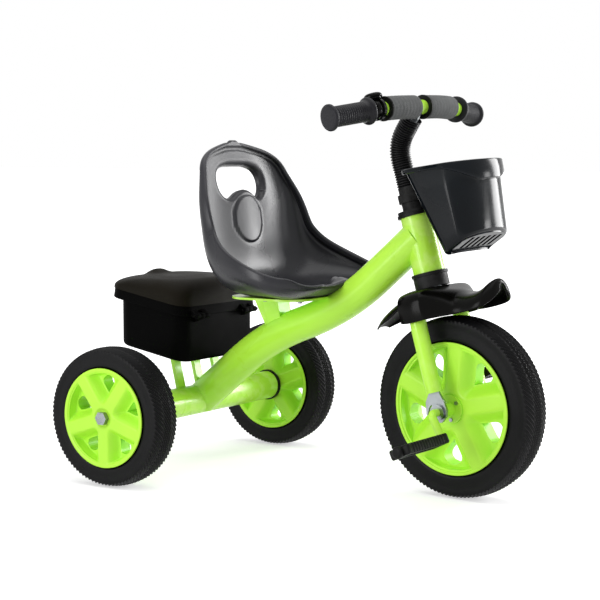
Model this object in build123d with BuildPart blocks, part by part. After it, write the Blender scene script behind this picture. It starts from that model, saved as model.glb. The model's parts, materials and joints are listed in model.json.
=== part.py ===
"""A child's pedal tricycle: steel frame, turning fork, plastic seat, lidded box and handlebar basket.

X points forward, Y to the rider's left and Z up, in millimetres.  The origin is on the floor under the
middle of the tricycle's length and width.  Pieces of the frame are drawn from the rear axle forward,
pieces that steer are drawn in the steering frame: its origin is the front axle, its Z runs up the
steering axis, and it stands turned by rest_turn about that axis.
"""

import os
from math import atan2, cos, degrees, hypot, radians, sin, tan

from build123d import *

os.makedirs("parts", exist_ok=True)

# --- driving dimensions: stance -------------------------------------------------------------------
wheelbase = 444.5
front_wheel_radius = 125.0
front_tyre_width = 48.3
rear_wheel_radius = 99.0
rear_tyre_width = 46.9
rear_track = 408.2
rake = 15.6
rest_turn = -6.33

# --- driving dimensions: tubes --------------------------------------------------------------------
tube_radius = 24.5
tube_wall = 1.6
tube_bend_radius = 380.0
tube_low_bend = (125.8, 202.4)
tube_high_bend = (256.3, 249.4)
tube_top_along_head = 241.0
axle_tube_radius = 22.0
axle_tube_half = 172.0
head_tube_radius = 22.0
head_tube_wall = 2.5
head_tube_low = 188.0
head_tube_high = 268.0

# --- driving dimensions: fork, stem and bar ---------------------------------------------------------
leg_radius = 11.25
leg_spread = 52.0
leg_low = 27.0
crown_height = 143.0
crown_bend_radius = 26.0
steerer_radius = 12.7
crank_radius = 38.0
crank_rod_radius = 5.5
crank_rest_angle = -76.0
arm_offset = 70.0
bar_centre = (45.0, 410.0)
bar_radius = 10.0
bar_sweep = 15.0
bar_drop = 12.0
bar_bend_radius = 271.0
bar_straight = 32.5
grip_length = 65.6
grip_radius = 14.0
foam_radius = 16.3

# --- driving dimensions: seat fixings and handle hole -------------------------------------------------
seat_bolt_middle = 178.0
seat_bolt_pitch_x = 60.0
seat_bolt_pitch_y = 84.0
seat_nut_height = 5.0
handle_height = 434.0
handle_width = 92.0
handle_depth = 34.0

rack_middle = -16.0
rack_pitch = 47.0

# --- driving dimensions: fork ends --------------------------------------------------------------------
fork_end_thickness = 4.0
fork_tang = 18.0
bush_radius = 8.8

# --- fits -------------------------------------------------------------------------------------------
running_fit = 0.08
soft_gap = 0.3
bolt_radius = 3.0
floor_height = 0.0

front_axle = (wheelbase, 0, front_wheel_radius)
track_half = rear_track / 2
head_plane = Plane(
    origin=front_axle,
    x_dir=(cos(radians(rake)), 0, sin(radians(rake))),
    z_dir=(-sin(radians(rake)), 0, cos(radians(rake))),
)
middle_x = (wheelbase + front_wheel_radius - rear_wheel_radius) / 2
frame_place = Location((-middle_x, 0, floor_height))
head_place = frame_place * head_plane.location
front_place = head_place * Location((0, 0, 0), (0, 0, rest_turn))


def finish(piece, name, place):
    """Set a piece in the tricycle, label it and write its STEP file."""
    piece.part = piece.part.moved(place)
    piece.part.label = name
    export_step(piece.part, f"parts/{name}.step")


def along_y(radius, y_from, y_to, x=0.0, z=0.0):
    """A round bar parallel to Y between two values of y."""
    with BuildPart() as bar:
        with BuildSketch(Plane(origin=(x, y_from, z), x_dir=(1, 0, 0), z_dir=(0, 1, 0))):
            Circle(radius)
        extrude(amount=y_to - y_from)
    return bar.part


def ring_z(outer, inner, low, high):
    """A ring about the Z axis between two heights."""
    with BuildPart() as ring:
        with BuildSketch(Plane.XY.offset(low)):
            Circle(outer)
            Circle(inner, mode=Mode.SUBTRACT)
        extrude(amount=high - low)
    return ring


# === frame ============================================================================================
# Main tube: one bent tube from the rear axle tube up to the head tube, mitred to both.
head_top = head_plane.from_local_coords((0, 0, tube_top_along_head))
with BuildPart() as main_tube:
    with BuildLine(Plane.XZ) as tube_line:
        FilletPolyline(
            (0, rear_wheel_radius),
            tube_low_bend,
            tube_high_bend,
            (head_top.X, head_top.Z),
            radius=tube_bend_radius,
        )
    with BuildSketch(Plane(origin=tube_line.line @ 0, z_dir=tube_line.line % 0)):
        Circle(tube_radius)
        Circle(tube_radius - tube_wall, mode=Mode.SUBTRACT)
    sweep(path=tube_line.line)
    add(along_y(axle_tube_radius, -axle_tube_half, axle_tube_half, 0, rear_wheel_radius), mode=Mode.SUBTRACT)
    with BuildSketch(head_plane.offset(head_tube_low - 60)):
        Circle(head_tube_radius)
    extrude(amount=head_tube_high - head_tube_low + 120, mode=Mode.SUBTRACT)
finish(main_tube, "main_tube", frame_place)

head_bore = head_tube_radius - head_tube_wall
head_tube = ring_z(head_tube_radius, head_bore, head_tube_low, head_tube_high)
finish(head_tube, "head_tube", head_place)

axle_tube_wall = 2.0
with BuildPart() as rear_axle_tube:
    add(along_y(axle_tube_radius, -axle_tube_half, axle_tube_half, 0, rear_wheel_radius))
    add(
        along_y(axle_tube_radius - axle_tube_wall, -axle_tube_half, axle_tube_half, 0, rear_wheel_radius),
        mode=Mode.SUBTRACT,
    )
finish(rear_axle_tube, "rear_axle_tube", frame_place)

# Headset: two bushes pressed into the head tube, which the steerer turns in.
bush_flange = 4.0
bush_flange_radius = 25.5
bush_depth = 16.0
for name, height, direction in (
    ("headset_lower_bush", head_tube_low, -1),
    ("headset_upper_bush", head_tube_high, 1),
):
    with BuildPart() as bush:
        with BuildSketch(Plane.XY.offset(height)):
            Circle(bush_flange_radius)
        extrude(amount=direction * bush_flange)
        with BuildSketch(Plane.XY.offset(height)):
            Circle(head_bore)
        extrude(amount=-direction * bush_depth)
        with BuildSketch(Plane.XY.offset(height - direction * bush_depth)):
            Circle(steerer_radius + running_fit)
        extrude(amount=direction * (bush_depth + bush_flange), mode=Mode.SUBTRACT)
    finish(bush, name, head_place)

# Rear axle: a plain rod held by two plastic plugs in the ends of its tube, with a nut outside each wheel.
axle_radius = 6.0
plug_flange = 5.0
plug_depth = 18.0
plug_flange_radius = 24.0
hub_half = 22.0
hub_outer = track_half + hub_half
hub_inner = track_half - hub_half
nut_height = 7.0
washer_height = hub_inner - axle_tube_half - plug_flange - soft_gap
with BuildPart() as rear_axle:
    add(along_y(axle_radius, -hub_outer - nut_height + 2, hub_outer + nut_height - 2, 0, rear_wheel_radius))
finish(rear_axle, "rear_axle", frame_place)

with BuildPart() as axle_plugs:
    for side in (-1, 1):
        end = side * axle_tube_half
        add(along_y(plug_flange_radius, end, end + side * plug_flange, 0, rear_wheel_radius))
        add(along_y(axle_tube_radius - axle_tube_wall, end - side * plug_depth, end, 0, rear_wheel_radius))
    add(along_y(axle_radius, -hub_outer, hub_outer, 0, rear_wheel_radius), mode=Mode.SUBTRACT)
finish(axle_plugs, "axle_tube_plugs", frame_place)

with BuildPart() as axle_washers:
    for side in (-1, 1):
        start = side * (axle_tube_half + plug_flange)
        add(along_y(11, start, start + side * washer_height, 0, rear_wheel_radius))
    add(along_y(axle_radius, -hub_outer, hub_outer, 0, rear_wheel_radius), mode=Mode.SUBTRACT)
finish(axle_washers, "axle_washers", frame_place)

nut_radius = 9.8
with BuildPart() as axle_nuts:
    for side in (-1, 1):
        start = side * (hub_outer + soft_gap)
        with BuildSketch(Plane(origin=(0, start, rear_wheel_radius), x_dir=(1, 0, 0), z_dir=(0, side, 0))):
            RegularPolygon(nut_radius, 6)
        extrude(amount=nut_height)
    add(along_y(axle_radius, -hub_outer - nut_height + 2, hub_outer + nut_height - 2, 0, rear_wheel_radius),
        mode=Mode.SUBTRACT)
finish(axle_nuts, "axle_nuts", frame_place)


# === wheels ===========================================================================================
def wheel_rim(rim_radius, seat_radius, tyre_width, hub_radius, hub_half, bore, pocket, spoke_width, phase):
    """A moulded rim about the Y axis: tyre seat, two lips, hub and five spokes between tapered pockets."""
    seat_half = tyre_width / 2 - rim_lip_step
    face = seat_half + rim_lip
    pocket_in, pocket_out, window_in, window_out, window_margin = pocket
    with BuildPart() as rim:
        with BuildSketch(Plane.YZ):
            with BuildLine():
                Polyline(
                    (-hub_half, bore),
                    (-hub_half, hub_radius),
                    (-face + rim_dish, hub_radius + 3),
                    (-face + rim_dish, pocket_out),
                    (-face, pocket_out + 3.5),
                    (-face, rim_radius),
                    (-seat_half, rim_radius),
                    (-seat_half, seat_radius),
                    (seat_half, seat_radius),
                    (seat_half, rim_radius),
                    (face, rim_radius),
                    (face, pocket_out + 3.5),
                    (face - rim_dish, pocket_out),
                    (face - rim_dish, hub_radius + 3),
                    (hub_half, hub_radius),
                    (hub_half, bore),
                    close=True,
                )
            make_face()
        revolve(axis=Axis.Y)
        for side in (-1, 1):
            with BuildSketch(Plane(origin=(0, side * (face - rim_dish), 0), x_dir=(1, 0, 0), z_dir=(0, side, 0))) as cut:
                Circle(pocket_out)
                Circle(pocket_in, mode=Mode.SUBTRACT)
                with PolarLocations(0, 5, start_angle=-side * (phase + 36)):
                    with Locations((pocket_out / 2, 0)):
                        Rectangle(pocket_out + 10, spoke_width, mode=Mode.SUBTRACT)
                fillet(cut.vertices(), pocket_fillet)
            extrude(amount=-(face - rim_dish - rim_web / 2), taper=pocket_taper, mode=Mode.SUBTRACT)
        with BuildSketch(Plane(origin=(0, 0, 0), x_dir=(1, 0, 0), z_dir=(0, -1, 0))) as windows:
            Circle(window_out)
            Circle(window_in, mode=Mode.SUBTRACT)
            with PolarLocations(0, 5, start_angle=phase + 36):
                with Locations((pocket_out / 2, 0)):
                    Rectangle(pocket_out + 10, spoke_width + window_margin, mode=Mode.SUBTRACT)
            fillet(windows.vertices(), window_fillet)
        extrude(amount=rim_web, both=True, mode=Mode.SUBTRACT)
    return rim


def wheel_tyre(wheel_radius, rim_radius, seat_radius, width):
    """A solid foam tyre about the Y axis, with a crowned tread and straight side walls."""
    seat_half = width / 2 - rim_lip_step
    half = width / 2
    shoulder = wheel_radius - tread_drop
    with BuildPart() as tyre:
        with BuildSketch(Plane.YZ) as section:
            with BuildLine():
                Polyline(
                    (-half + 4, shoulder),
                    (-half, shoulder - 8),
                    (-half, rim_radius + 1),
                    (-seat_half, rim_radius + 1),
                    (-seat_half, seat_radius),
                    (seat_half, seat_radius),
                    (seat_half, rim_radius + 1),
                    (half, rim_radius + 1),
                    (half, shoulder - 8),
                    (half - 4, shoulder),
                )
                ThreePointArc((-half + 4, shoulder), (0, wheel_radius), (half - 4, shoulder))
            make_face()
        revolve(axis=Axis.Y)
    return tyre


rim_lip = 2.2
rim_lip_step = 0.3
rim_dish = 2.0
rim_web = 3.0
pocket_fillet = 5.0
window_fillet = 2.0
pocket_taper = 22.0
tread_drop = 4.0
front_rim_radius = 91.3
front_seat_radius = 84.0
rear_rim_radius = 70.4
rear_seat_radius = 63.5
spindle_bore = crank_rod_radius + running_fit
front_hub_half = 24.0

front_rim = wheel_rim(
    front_rim_radius, front_seat_radius, front_tyre_width, 20.0, front_hub_half, spindle_bore,
    (30.0, 80.0, 50.0, 72.0, 22.0), 24.0, 28.0,
)
finish(front_rim, "front_rim", front_place)
front_tyre = wheel_tyre(front_wheel_radius, front_rim_radius, front_seat_radius, front_tyre_width)
finish(front_tyre, "front_tyre", front_place)

for name, side, phase in (("right", -1, 18.0), ("left", 1, 57.0)):
    wheel_place = frame_place * Location((0, side * track_half, rear_wheel_radius))
    rim = wheel_rim(
        rear_rim_radius, rear_seat_radius, rear_tyre_width, 13.0, hub_half, axle_radius + running_fit,
        (21.0, 60.0, 36.0, 54.0, 12.0), 20.0, phase,
    )
    finish(rim, f"rear_rim_{name}", wheel_place)
    tyre = wheel_tyre(rear_wheel_radius, rear_rim_radius, rear_seat_radius, rear_tyre_width)
    finish(tyre, f"rear_tyre_{name}", wheel_place)

# === seat and its support =============================================================================
# Seat plate: a steel sheet under the shell, let down over the main tube in front.
plate_thickness = 3.0
plate_level = 264.0
plate_rear = 113.0
plate_front = 243.0
plate_half = 101.0
plate_corner = 40.0
seat_floor = plate_level + plate_thickness
with BuildPart() as tube_body:
    with BuildSketch(Plane(origin=tube_line.line @ 0, z_dir=tube_line.line % 0)):
        Circle(tube_radius)
    sweep(path=tube_line.line)
with BuildPart() as tube_room:
    with BuildSketch(Plane(origin=tube_line.line @ 0, z_dir=tube_line.line % 0)):
        Circle(tube_radius + soft_gap)
    sweep(path=tube_line.line)
with BuildPart() as seat_plate:
    with BuildSketch(Plane.XY.offset(plate_level)):
        with Locations(((plate_rear + plate_front) / 2, 0)):
            RectangleRounded(plate_front - plate_rear, 2 * plate_half, plate_corner)
    extrude(amount=plate_thickness)
    add(tube_body.part, mode=Mode.SUBTRACT)
    with BuildSketch(Plane.XY.offset(plate_level)):
        with GridLocations(seat_bolt_pitch_x, seat_bolt_pitch_y, 2, 2):
            with Locations((seat_bolt_middle, 0)):
                Circle(bolt_radius)
    extrude(amount=plate_thickness, mode=Mode.SUBTRACT)
finish(seat_plate, "seat_plate", frame_place)

# Seat stay: a folded steel post between the main tube and the plate.
stay_half = 15.0
stay_rear = 106.0
stay_front = 150.0
stay_reach = 50.0
with BuildPart() as seat_stay:
    with BuildSketch(Plane.XZ):
        Polygon(
            (stay_rear, plate_level),
            (stay_front, plate_level),
            (stay_front + 8, plate_level - stay_reach),
            (stay_rear + 26, plate_level - stay_reach),
            align=None,
        )
    extrude(amount=stay_half, both=True)
    add(tube_body.part, mode=Mode.SUBTRACT)
finish(seat_stay, "seat_stay", frame_place)

# Seat shell: one moulded bucket.  Each station gives the middle of the outer skin (x, z), how far the
# side wings stand forward of it (dx, dz) and half the width.
seat_wall = 4.0
seat_stations = (
    ((262.0, 281.0), (0.0, 12.0), 104.0),
    ((234.0, seat_floor + 0.2), (1.0, 30.0), 133.0),
    ((200.0, seat_floor), (3.0, 40.0), 146.0),
    ((160.0, seat_floor), (0.0, 58.0), 143.0),
    ((118.0, seat_floor + 9.0), (14.0, 70.0), 134.0),
    ((92.0, 310.0), (32.0, 42.0), 128.0),
    ((80.0, 355.0), (33.0, 16.0), 125.0),
    ((74.0, 400.0), (26.0, 6.0), 119.0),
    ((67.0, 440.0), (18.0, 2.0), 103.0),
    ((61.0, 470.0), (10.0, 1.0), 72.0),
    ((57.0, 485.0), (5.0, 0.0), 34.0),
)


def wing_section(depth, half, wall):
    """A U across the seat: a flat middle that rolls up into a wing at each side."""
    outer = ((0.0, 0.0), (0.6 * half, 0.02 * depth), (0.88 * half, 0.25 * depth), (half, depth))
    inner_half = half - wall
    inner_depth = depth - wall
    inner = (
        (0.0, wall),
        (0.6 * inner_half, wall + 0.02 * inner_depth),
        (0.87 * inner_half, wall + 0.25 * inner_depth),
        (inner_half, depth),
    )
    with BuildLine() as outline:
        right = Spline([(-x, y) for x, y in reversed(outer)] + list(outer[1:]))
        left = Spline([(-x, y) for x, y in reversed(inner)] + list(inner[1:]))
        Line(right @ 0, left @ 0)
        Line(right @ 1, left @ 1)
    return outline


with BuildPart() as seat_shell:
    for (x, z), (dx, dz), half in seat_stations:
        depth = hypot(dx, dz)
        plane = Plane(origin=(x, 0, z), x_dir=(0, 1, 0), z_dir=(-dz / depth, 0, dx / depth))
        if plane.y_dir.X * dx + plane.y_dir.Z * dz < 0:
            plane = Plane(origin=(x, 0, z), x_dir=(0, 1, 0), z_dir=(dz / depth, 0, -dx / depth))
        with BuildSketch(plane):
            add(wing_section(depth, half, min(seat_wall, 0.6 * depth)).line)
            make_face()
    loft()
    with BuildSketch(Plane.XY.offset(seat_floor)):
        with Locations(((plate_rear + plate_front) / 2, 0)):
            Rectangle(300, 320)
    extrude(amount=-20, mode=Mode.SUBTRACT)
    add(tube_room.part, mode=Mode.SUBTRACT)
    with BuildSketch(Plane.YZ.offset(0)):
        with Locations((0, handle_height)):
            SlotOverall(handle_width, handle_depth)
    extrude(amount=150, mode=Mode.SUBTRACT)
    with BuildSketch(Plane.XY.offset(seat_floor - 1)):
        with GridLocations(seat_bolt_pitch_x, seat_bolt_pitch_y, 2, 2):
            with Locations((seat_bolt_middle, 0)):
                Circle(bolt_radius)
    extrude(amount=30, mode=Mode.SUBTRACT)
finish(seat_shell, "seat_shell", frame_place)

# Seat bolts: button heads on the pan, hexagon nuts under the plate.
head_radius = 6.0
head_height = 3.0
bolt_low = plate_level - seat_nut_height - 2
pan_top = seat_floor + seat_wall
with BuildPart() as seat_bolts:
    with GridLocations(seat_bolt_pitch_x, seat_bolt_pitch_y, 2, 2):
        with Locations((seat_bolt_middle, 0, bolt_low)):
            Cylinder(bolt_radius, pan_top - bolt_low, align=(Align.CENTER, Align.CENTER, Align.MIN))
        with Locations((seat_bolt_middle, 0, pan_top)):
            Cylinder(head_radius, head_height, align=(Align.CENTER, Align.CENTER, Align.MIN))
finish(seat_bolts, "seat_bolts", frame_place)
with BuildPart() as seat_nuts:
    with BuildSketch(Plane.XY.offset(plate_level)):
        with GridLocations(seat_bolt_pitch_x, seat_bolt_pitch_y, 2, 2):
            with Locations((seat_bolt_middle, 0)):
                RegularPolygon(6.5, 6)
                Circle(bolt_radius, mode=Mode.SUBTRACT)
    extrude(amount=-seat_nut_height)
finish(seat_nuts, "seat_nuts", frame_place)


# === storage box ======================================================================================
# Box: upright walls between a floor and a rim that both rise rearward at box_slope.
box_slope = 10.2
box_front = 36.0
box_rear = -87.0
box_half = 92.0
box_wall = 2.5
box_corner = 22.0
box_floor_front = 163.5
box_rim_front = 246.0
lid_over = 4.0
lid_side_over = 6.0
lid_rear_over = 14.0
lid_wall = 2.5
lid_skirt = 13.0
slope_rise = tan(radians(box_slope))
hinge_x = box_front + lid_over + 7
hinge_z = box_rim_front - lid_skirt - 1
knuckle_radius = 4.0
hinge_pin_radius = 1.5


def sloped_block(front, rear, half, corner, low, high):
    """A prism with upright rounded corners between two floors of the box's slope, given at box_front."""
    with BuildPart() as block:
        with BuildSketch(Plane.XZ):
            Polygon(
                (front, low + (box_front - front) * slope_rise),
                (front, high + (box_front - front) * slope_rise),
                (rear, high + (box_front - rear) * slope_rise),
                (rear, low + (box_front - rear) * slope_rise),
                align=None,
            )
        extrude(amount=half, both=True)
        fillet(block.edges().filter_by(Axis.Z), corner)
    return block.part


box_bolt_pitch = 40.0
box_floor_thickness = box_wall * cos(radians(box_slope))
box_bolt_plane = Plane(
    origin=(rack_middle, 0, box_floor_front + (box_front - rack_middle) * slope_rise),
    x_dir=(cos(radians(box_slope)), 0, -sin(radians(box_slope))),
    z_dir=(sin(radians(box_slope)), 0, cos(radians(box_slope))),
)
with BuildPart() as box_body:
    add(sloped_block(box_front, box_rear, box_half, box_corner, box_floor_front, box_rim_front))
    add(
        sloped_block(
            box_front - box_wall, box_rear + box_wall, box_half - box_wall, box_corner - box_wall,
            box_floor_front + box_wall, box_rim_front + 20,
        ),
        mode=Mode.SUBTRACT,
    )
    for y in (-60, 60):
        with BuildSketch(Plane.XZ.offset(-y - 5)):
            Polygon(
                (box_front, hinge_z - 16), (box_front, hinge_z - 4 - knuckle_radius),
                (hinge_x - 2, hinge_z - knuckle_radius), (hinge_x, hinge_z - 12), align=None,
            )
            with Locations((hinge_x, hinge_z)):
                Circle(knuckle_radius)
            with BuildLine():
                Polyline(
                    (hinge_x - knuckle_radius, hinge_z), (hinge_x + knuckle_radius, hinge_z),
                    (hinge_x + knuckle_radius - 1, hinge_z - 12), (hinge_x - knuckle_radius, hinge_z - 12),
                    close=True,
                )
            make_face()
            with Locations((hinge_x, hinge_z)):
                Circle(hinge_pin_radius, mode=Mode.SUBTRACT)
        extrude(amount=10)
    with BuildSketch(box_bolt_plane.offset(-1)):
        with GridLocations(box_bolt_pitch, 2 * rack_pitch, 2, 2):
            Circle(bolt_radius)
    extrude(amount=box_wall + 2, mode=Mode.SUBTRACT)
finish(box_body, "box_body", frame_place)

with BuildPart() as lid_hinge_pins:
    for y in (-60, 60):
        add(along_y(hinge_pin_radius, y - 20, y + 20, hinge_x, hinge_z))
finish(lid_hinge_pins, "lid_hinge_pins", frame_place)

# Lid: a skirt outside the box's rim, a ledge that rests on the rim, a crowned top and a finger tab.
crown_front = 33.0
lid_tab_half = 26.0
lid_tab_top = 291.0
crown_rear = 17.0
rim_ledge = box_wall + 1.5
with BuildPart() as box_lid:
    with BuildSketch(Plane.XZ):
        Polygon(
            (box_front + lid_over, box_rim_front - lid_skirt - lid_over * slope_rise),
            (box_front + lid_over, box_rim_front + 12),
            (box_front - 20, box_rim_front + crown_front + 3),
            (box_rear + 5, box_rim_front + crown_rear + (box_front - box_rear) * slope_rise),
            (box_rear - lid_rear_over, box_rim_front + 8 + (box_front - box_rear) * slope_rise),
            (box_rear - lid_rear_over, box_rim_front - lid_skirt + (box_front - box_rear + lid_rear_over) * slope_rise),
            align=None,
        )
    extrude(amount=box_half + lid_side_over, both=True)
    fillet(box_lid.edges().filter_by(Axis.Z), box_corner)
    with BuildSketch(Plane.XZ):
        Polygon(
            (box_rear - lid_rear_over, box_rim_front + (box_front - box_rear) * slope_rise),
            (box_rear - 11, lid_tab_top - 3), (box_rear - 6, lid_tab_top), (box_rear + 8, lid_tab_top - 3),
            (box_rear + 16, box_rim_front + (box_front - box_rear) * slope_rise), align=None,
        )
    extrude(amount=lid_tab_half, both=True)
    add(
        sloped_block(
            box_front + lid_over - lid_wall, box_rear - lid_rear_over + lid_wall, box_half + lid_side_over - lid_wall,
            box_corner - lid_wall, box_rim_front - lid_skirt - 20, box_rim_front + soft_gap,
        ),
        mode=Mode.SUBTRACT,
    )
    add(
        sloped_block(
            box_front - rim_ledge, box_rear + rim_ledge, box_half - rim_ledge, box_corner - rim_ledge,
            box_rim_front - 5, box_rim_front + 11,
        ),
        mode=Mode.SUBTRACT,
    )
    for y in (-60, 60):
        for start in (y - 15.3, y + 5.3):
            with BuildSketch(Plane.XZ.offset(-start - 10)):
                with Locations((hinge_x, hinge_z)):
                    Circle(knuckle_radius)
                with BuildLine():
                    Polyline(
                        (box_front + lid_over - 0.5, hinge_z + 3), (hinge_x, hinge_z),
                        (hinge_x + knuckle_radius, hinge_z), (box_front + lid_over - 0.5, hinge_z + 14),
                        close=True,
                    )
                make_face()
                with Locations((hinge_x, hinge_z)):
                    Circle(hinge_pin_radius + running_fit, mode=Mode.SUBTRACT)
            extrude(amount=10)
finish(box_lid, "box_lid", frame_place)

# Box rack: three flat bars from the axle tube to a sloped plate that the box is screwed to.
rack_plate = 3.0
rack_bar = 16.0
rack_front = 18.0
rack_rear = -52.0


def box_underside(x):
    """Height of the box floor's outer face at x."""
    return box_floor_front + (box_front - x) * slope_rise


with BuildPart() as box_rack:
    with BuildSketch(Plane.XZ):
        Polygon(
            (rack_front, box_underside(rack_front)), (rack_rear, box_underside(rack_rear)),
            (rack_rear, box_underside(rack_rear) - rack_plate),
            (rack_front, box_underside(rack_front) - rack_plate), align=None,
        )
    extrude(amount=rack_pitch + rack_bar, both=True)
    for y in (-rack_pitch, 0, rack_pitch):
        with BuildSketch(Plane.XZ.offset(-y - rack_bar / 2)):
            Polygon(
                (2, rear_wheel_radius + axle_tube_radius - 6), (-12, box_underside(-12) - 1),
                (-18, box_underside(-18) - 1), (-4, rear_wheel_radius + axle_tube_radius - 6), align=None,
            )
        extrude(amount=rack_bar)
    add(along_y(axle_tube_radius, -axle_tube_half, axle_tube_half, 0, rear_wheel_radius), mode=Mode.SUBTRACT)
    add(tube_body.part, mode=Mode.SUBTRACT)
    with BuildSketch(box_bolt_plane.offset(-rack_plate)):
        with GridLocations(box_bolt_pitch, 2 * rack_pitch, 2, 2):
            Circle(bolt_radius)
    extrude(amount=rack_plate, mode=Mode.SUBTRACT)
finish(box_rack, "box_rack", frame_place)

# Box bolts: heads inside the box, nuts under the rack plate, square to the sloped floor.
box_nut_height = 4.0
with BuildPart() as box_bolts:
    with BuildSketch(box_bolt_plane.offset(-rack_plate - box_nut_height - 2)):
        with GridLocations(box_bolt_pitch, 2 * rack_pitch, 2, 2):
            Circle(bolt_radius)
    extrude(amount=rack_plate + box_nut_height + 2 + box_floor_thickness)
    with BuildSketch(box_bolt_plane.offset(box_floor_thickness)):
        with GridLocations(box_bolt_pitch, 2 * rack_pitch, 2, 2):
            Circle(6)
    extrude(amount=2.5)
finish(box_bolts, "box_bolts", frame_place)
with BuildPart() as box_nuts:
    with BuildSketch(box_bolt_plane.offset(-rack_plate)):
        with GridLocations(box_bolt_pitch, 2 * rack_pitch, 2, 2):
            RegularPolygon(6.5, 6)
            Circle(bolt_radius, mode=Mode.SUBTRACT)
    extrude(amount=-box_nut_height)
finish(box_nuts, "box_nuts", frame_place)

# === steering =========================================================================================
# Fork: one tube bent into a U over the wheel, with the steerer and its crown boss welded on top.
crown_top = crown_height + leg_radius
fender_seat = 164.6
fender_wall = 3.0
boss_radius = 13.5
spacer_low = fender_seat + fender_wall
spacer_high = head_tube_low - bush_flange - soft_gap
cap_low = head_tube_high + bush_flange + soft_gap
cap_high = cap_low + 4.4
steerer_top = 297.0
with BuildPart() as fork_blades:
    with BuildLine(Plane.YZ) as fork_line:
        FilletPolyline(
            (-leg_spread, leg_low), (-leg_spread, crown_height), (leg_spread, crown_height),
            (leg_spread, leg_low), radius=crown_bend_radius,
        )
    with BuildSketch(Plane(origin=fork_line.line @ 0, z_dir=fork_line.line % 0)):
        Circle(leg_radius)
    sweep(path=fork_line.line)
    with BuildSketch(Plane.XY.offset(leg_low)):
        with Locations((0, -leg_spread), (0, leg_spread)):
            Rectangle(2 * leg_radius - 4, fork_end_thickness)
    extrude(amount=fork_tang, mode=Mode.SUBTRACT)
finish(fork_blades, "fork_blades", front_place)

with BuildPart() as steerer:
    with BuildSketch(Plane.XY.offset(crown_height)):
        Circle(boss_radius)
    extrude(amount=fender_seat - crown_height)
    with BuildSketch(Plane.XY.offset(fender_seat)):
        Circle(steerer_radius)
    extrude(amount=steerer_top - fender_seat)
    add(along_y(leg_radius, -boss_radius - 5, boss_radius + 5, 0, crown_height), mode=Mode.SUBTRACT)
finish(steerer, "steerer", front_place)

crown_spacer = ring_z(24.0, steerer_radius, spacer_low, spacer_high)
finish(crown_spacer, "crown_spacer", front_place)
headset_cap = ring_z(24.0, steerer_radius, cap_low, cap_high)
finish(headset_cap, "headset_cap", front_place)

# Fork ends: stamped hooks, open to the rear and below, whose tangs sit in the slotted legs.
with BuildPart() as fork_ends:
    for side in (-1, 1):
        with BuildSketch(Plane.XZ.offset(-side * leg_spread - fork_end_thickness / 2)):
            Polygon(
                (-8, leg_low + fork_tang), (8, leg_low + fork_tang), (9, 24), (13, 13), (14.5, 0), (11, -9),
                (3, -14.5), (-5, -14), (-9.5, -8), (-5, -3), (-5, 6), (-8, 12), (-13, 8), (-18, -1), (-20, 0),
                (-16, 17), (-8, 27), align=None,
            )
            Circle(bush_radius, mode=Mode.SUBTRACT)
        extrude(amount=fork_end_thickness)
finish(fork_ends, "fork_ends", front_place)

# Axle bushes: nylon rings that sit in the fork ends and carry the crank spindle.
with BuildPart() as crank_bushes:
    for side in (-1, 1):
        inner = side * (leg_spread - fork_end_thickness / 2)
        outer = side * (leg_spread + fork_end_thickness / 2)
        add(along_y(bush_radius, inner, outer))
        add(along_y(11.0, outer, outer + side * 3))
        add(along_y(11.0, inner - side * 3, inner))
    add(along_y(spindle_bore, -80, 80), mode=Mode.SUBTRACT)
finish(crank_bushes, "crank_bushes", front_place)

# Crank: one rod bent into spindle, arms and pedal pins.
crank_bend = 7.0
pedal_inner = arm_offset + crank_bend + 0.5
pedal_length = 90.0
pedal_outer = pedal_inner + pedal_length
crank_end = pedal_outer + 6
arm_x = crank_radius * cos(radians(crank_rest_angle))
arm_z = crank_radius * sin(radians(crank_rest_angle))
with BuildPart() as crank:
    with BuildLine() as crank_line:
        FilletPolyline(
            (arm_x, -crank_end, arm_z), (arm_x, -arm_offset, arm_z), (0, -arm_offset, 0),
            (0, arm_offset, 0), (-arm_x, arm_offset, -arm_z), (-arm_x, crank_end, -arm_z), radius=crank_bend,
        )
    with BuildSketch(Plane(origin=crank_line.line @ 0, z_dir=crank_line.line % 0)):
        Circle(crank_rod_radius)
    sweep(path=crank_line.line)
finish(crank, "crank", front_place)

# Drive plates: discs screwed to each side of the hub, with a boss that spaces the wheel in the fork.
plate_half_inner = front_hub_half
plate_disc = 3.0
plate_disc_radius = 20.0
boss_end = leg_spread - fork_end_thickness / 2 - 3 - soft_gap
hub_screw_circle = 14.5
with BuildPart() as hub_plates:
    for side in (-1, 1):
        start = side * plate_half_inner
        add(along_y(plate_disc_radius, start, start + side * plate_disc))
        add(along_y(9.0, start, side * boss_end))
    add(along_y(crank_rod_radius, -60, 60), mode=Mode.SUBTRACT)
finish(hub_plates, "hub_plates", front_place)
with BuildPart() as hub_screws:
    for side in (-1, 1):
        start = side * (plate_half_inner + plate_disc)
        with BuildSketch(Plane(origin=(0, start, 0), x_dir=(1, 0, 0), z_dir=(0, side, 0))):
            with PolarLocations(hub_screw_circle, 3, start_angle=25):
                Circle(2.6)
        extrude(amount=1.8)
finish(hub_screws, "hub_screws", front_place)

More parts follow.
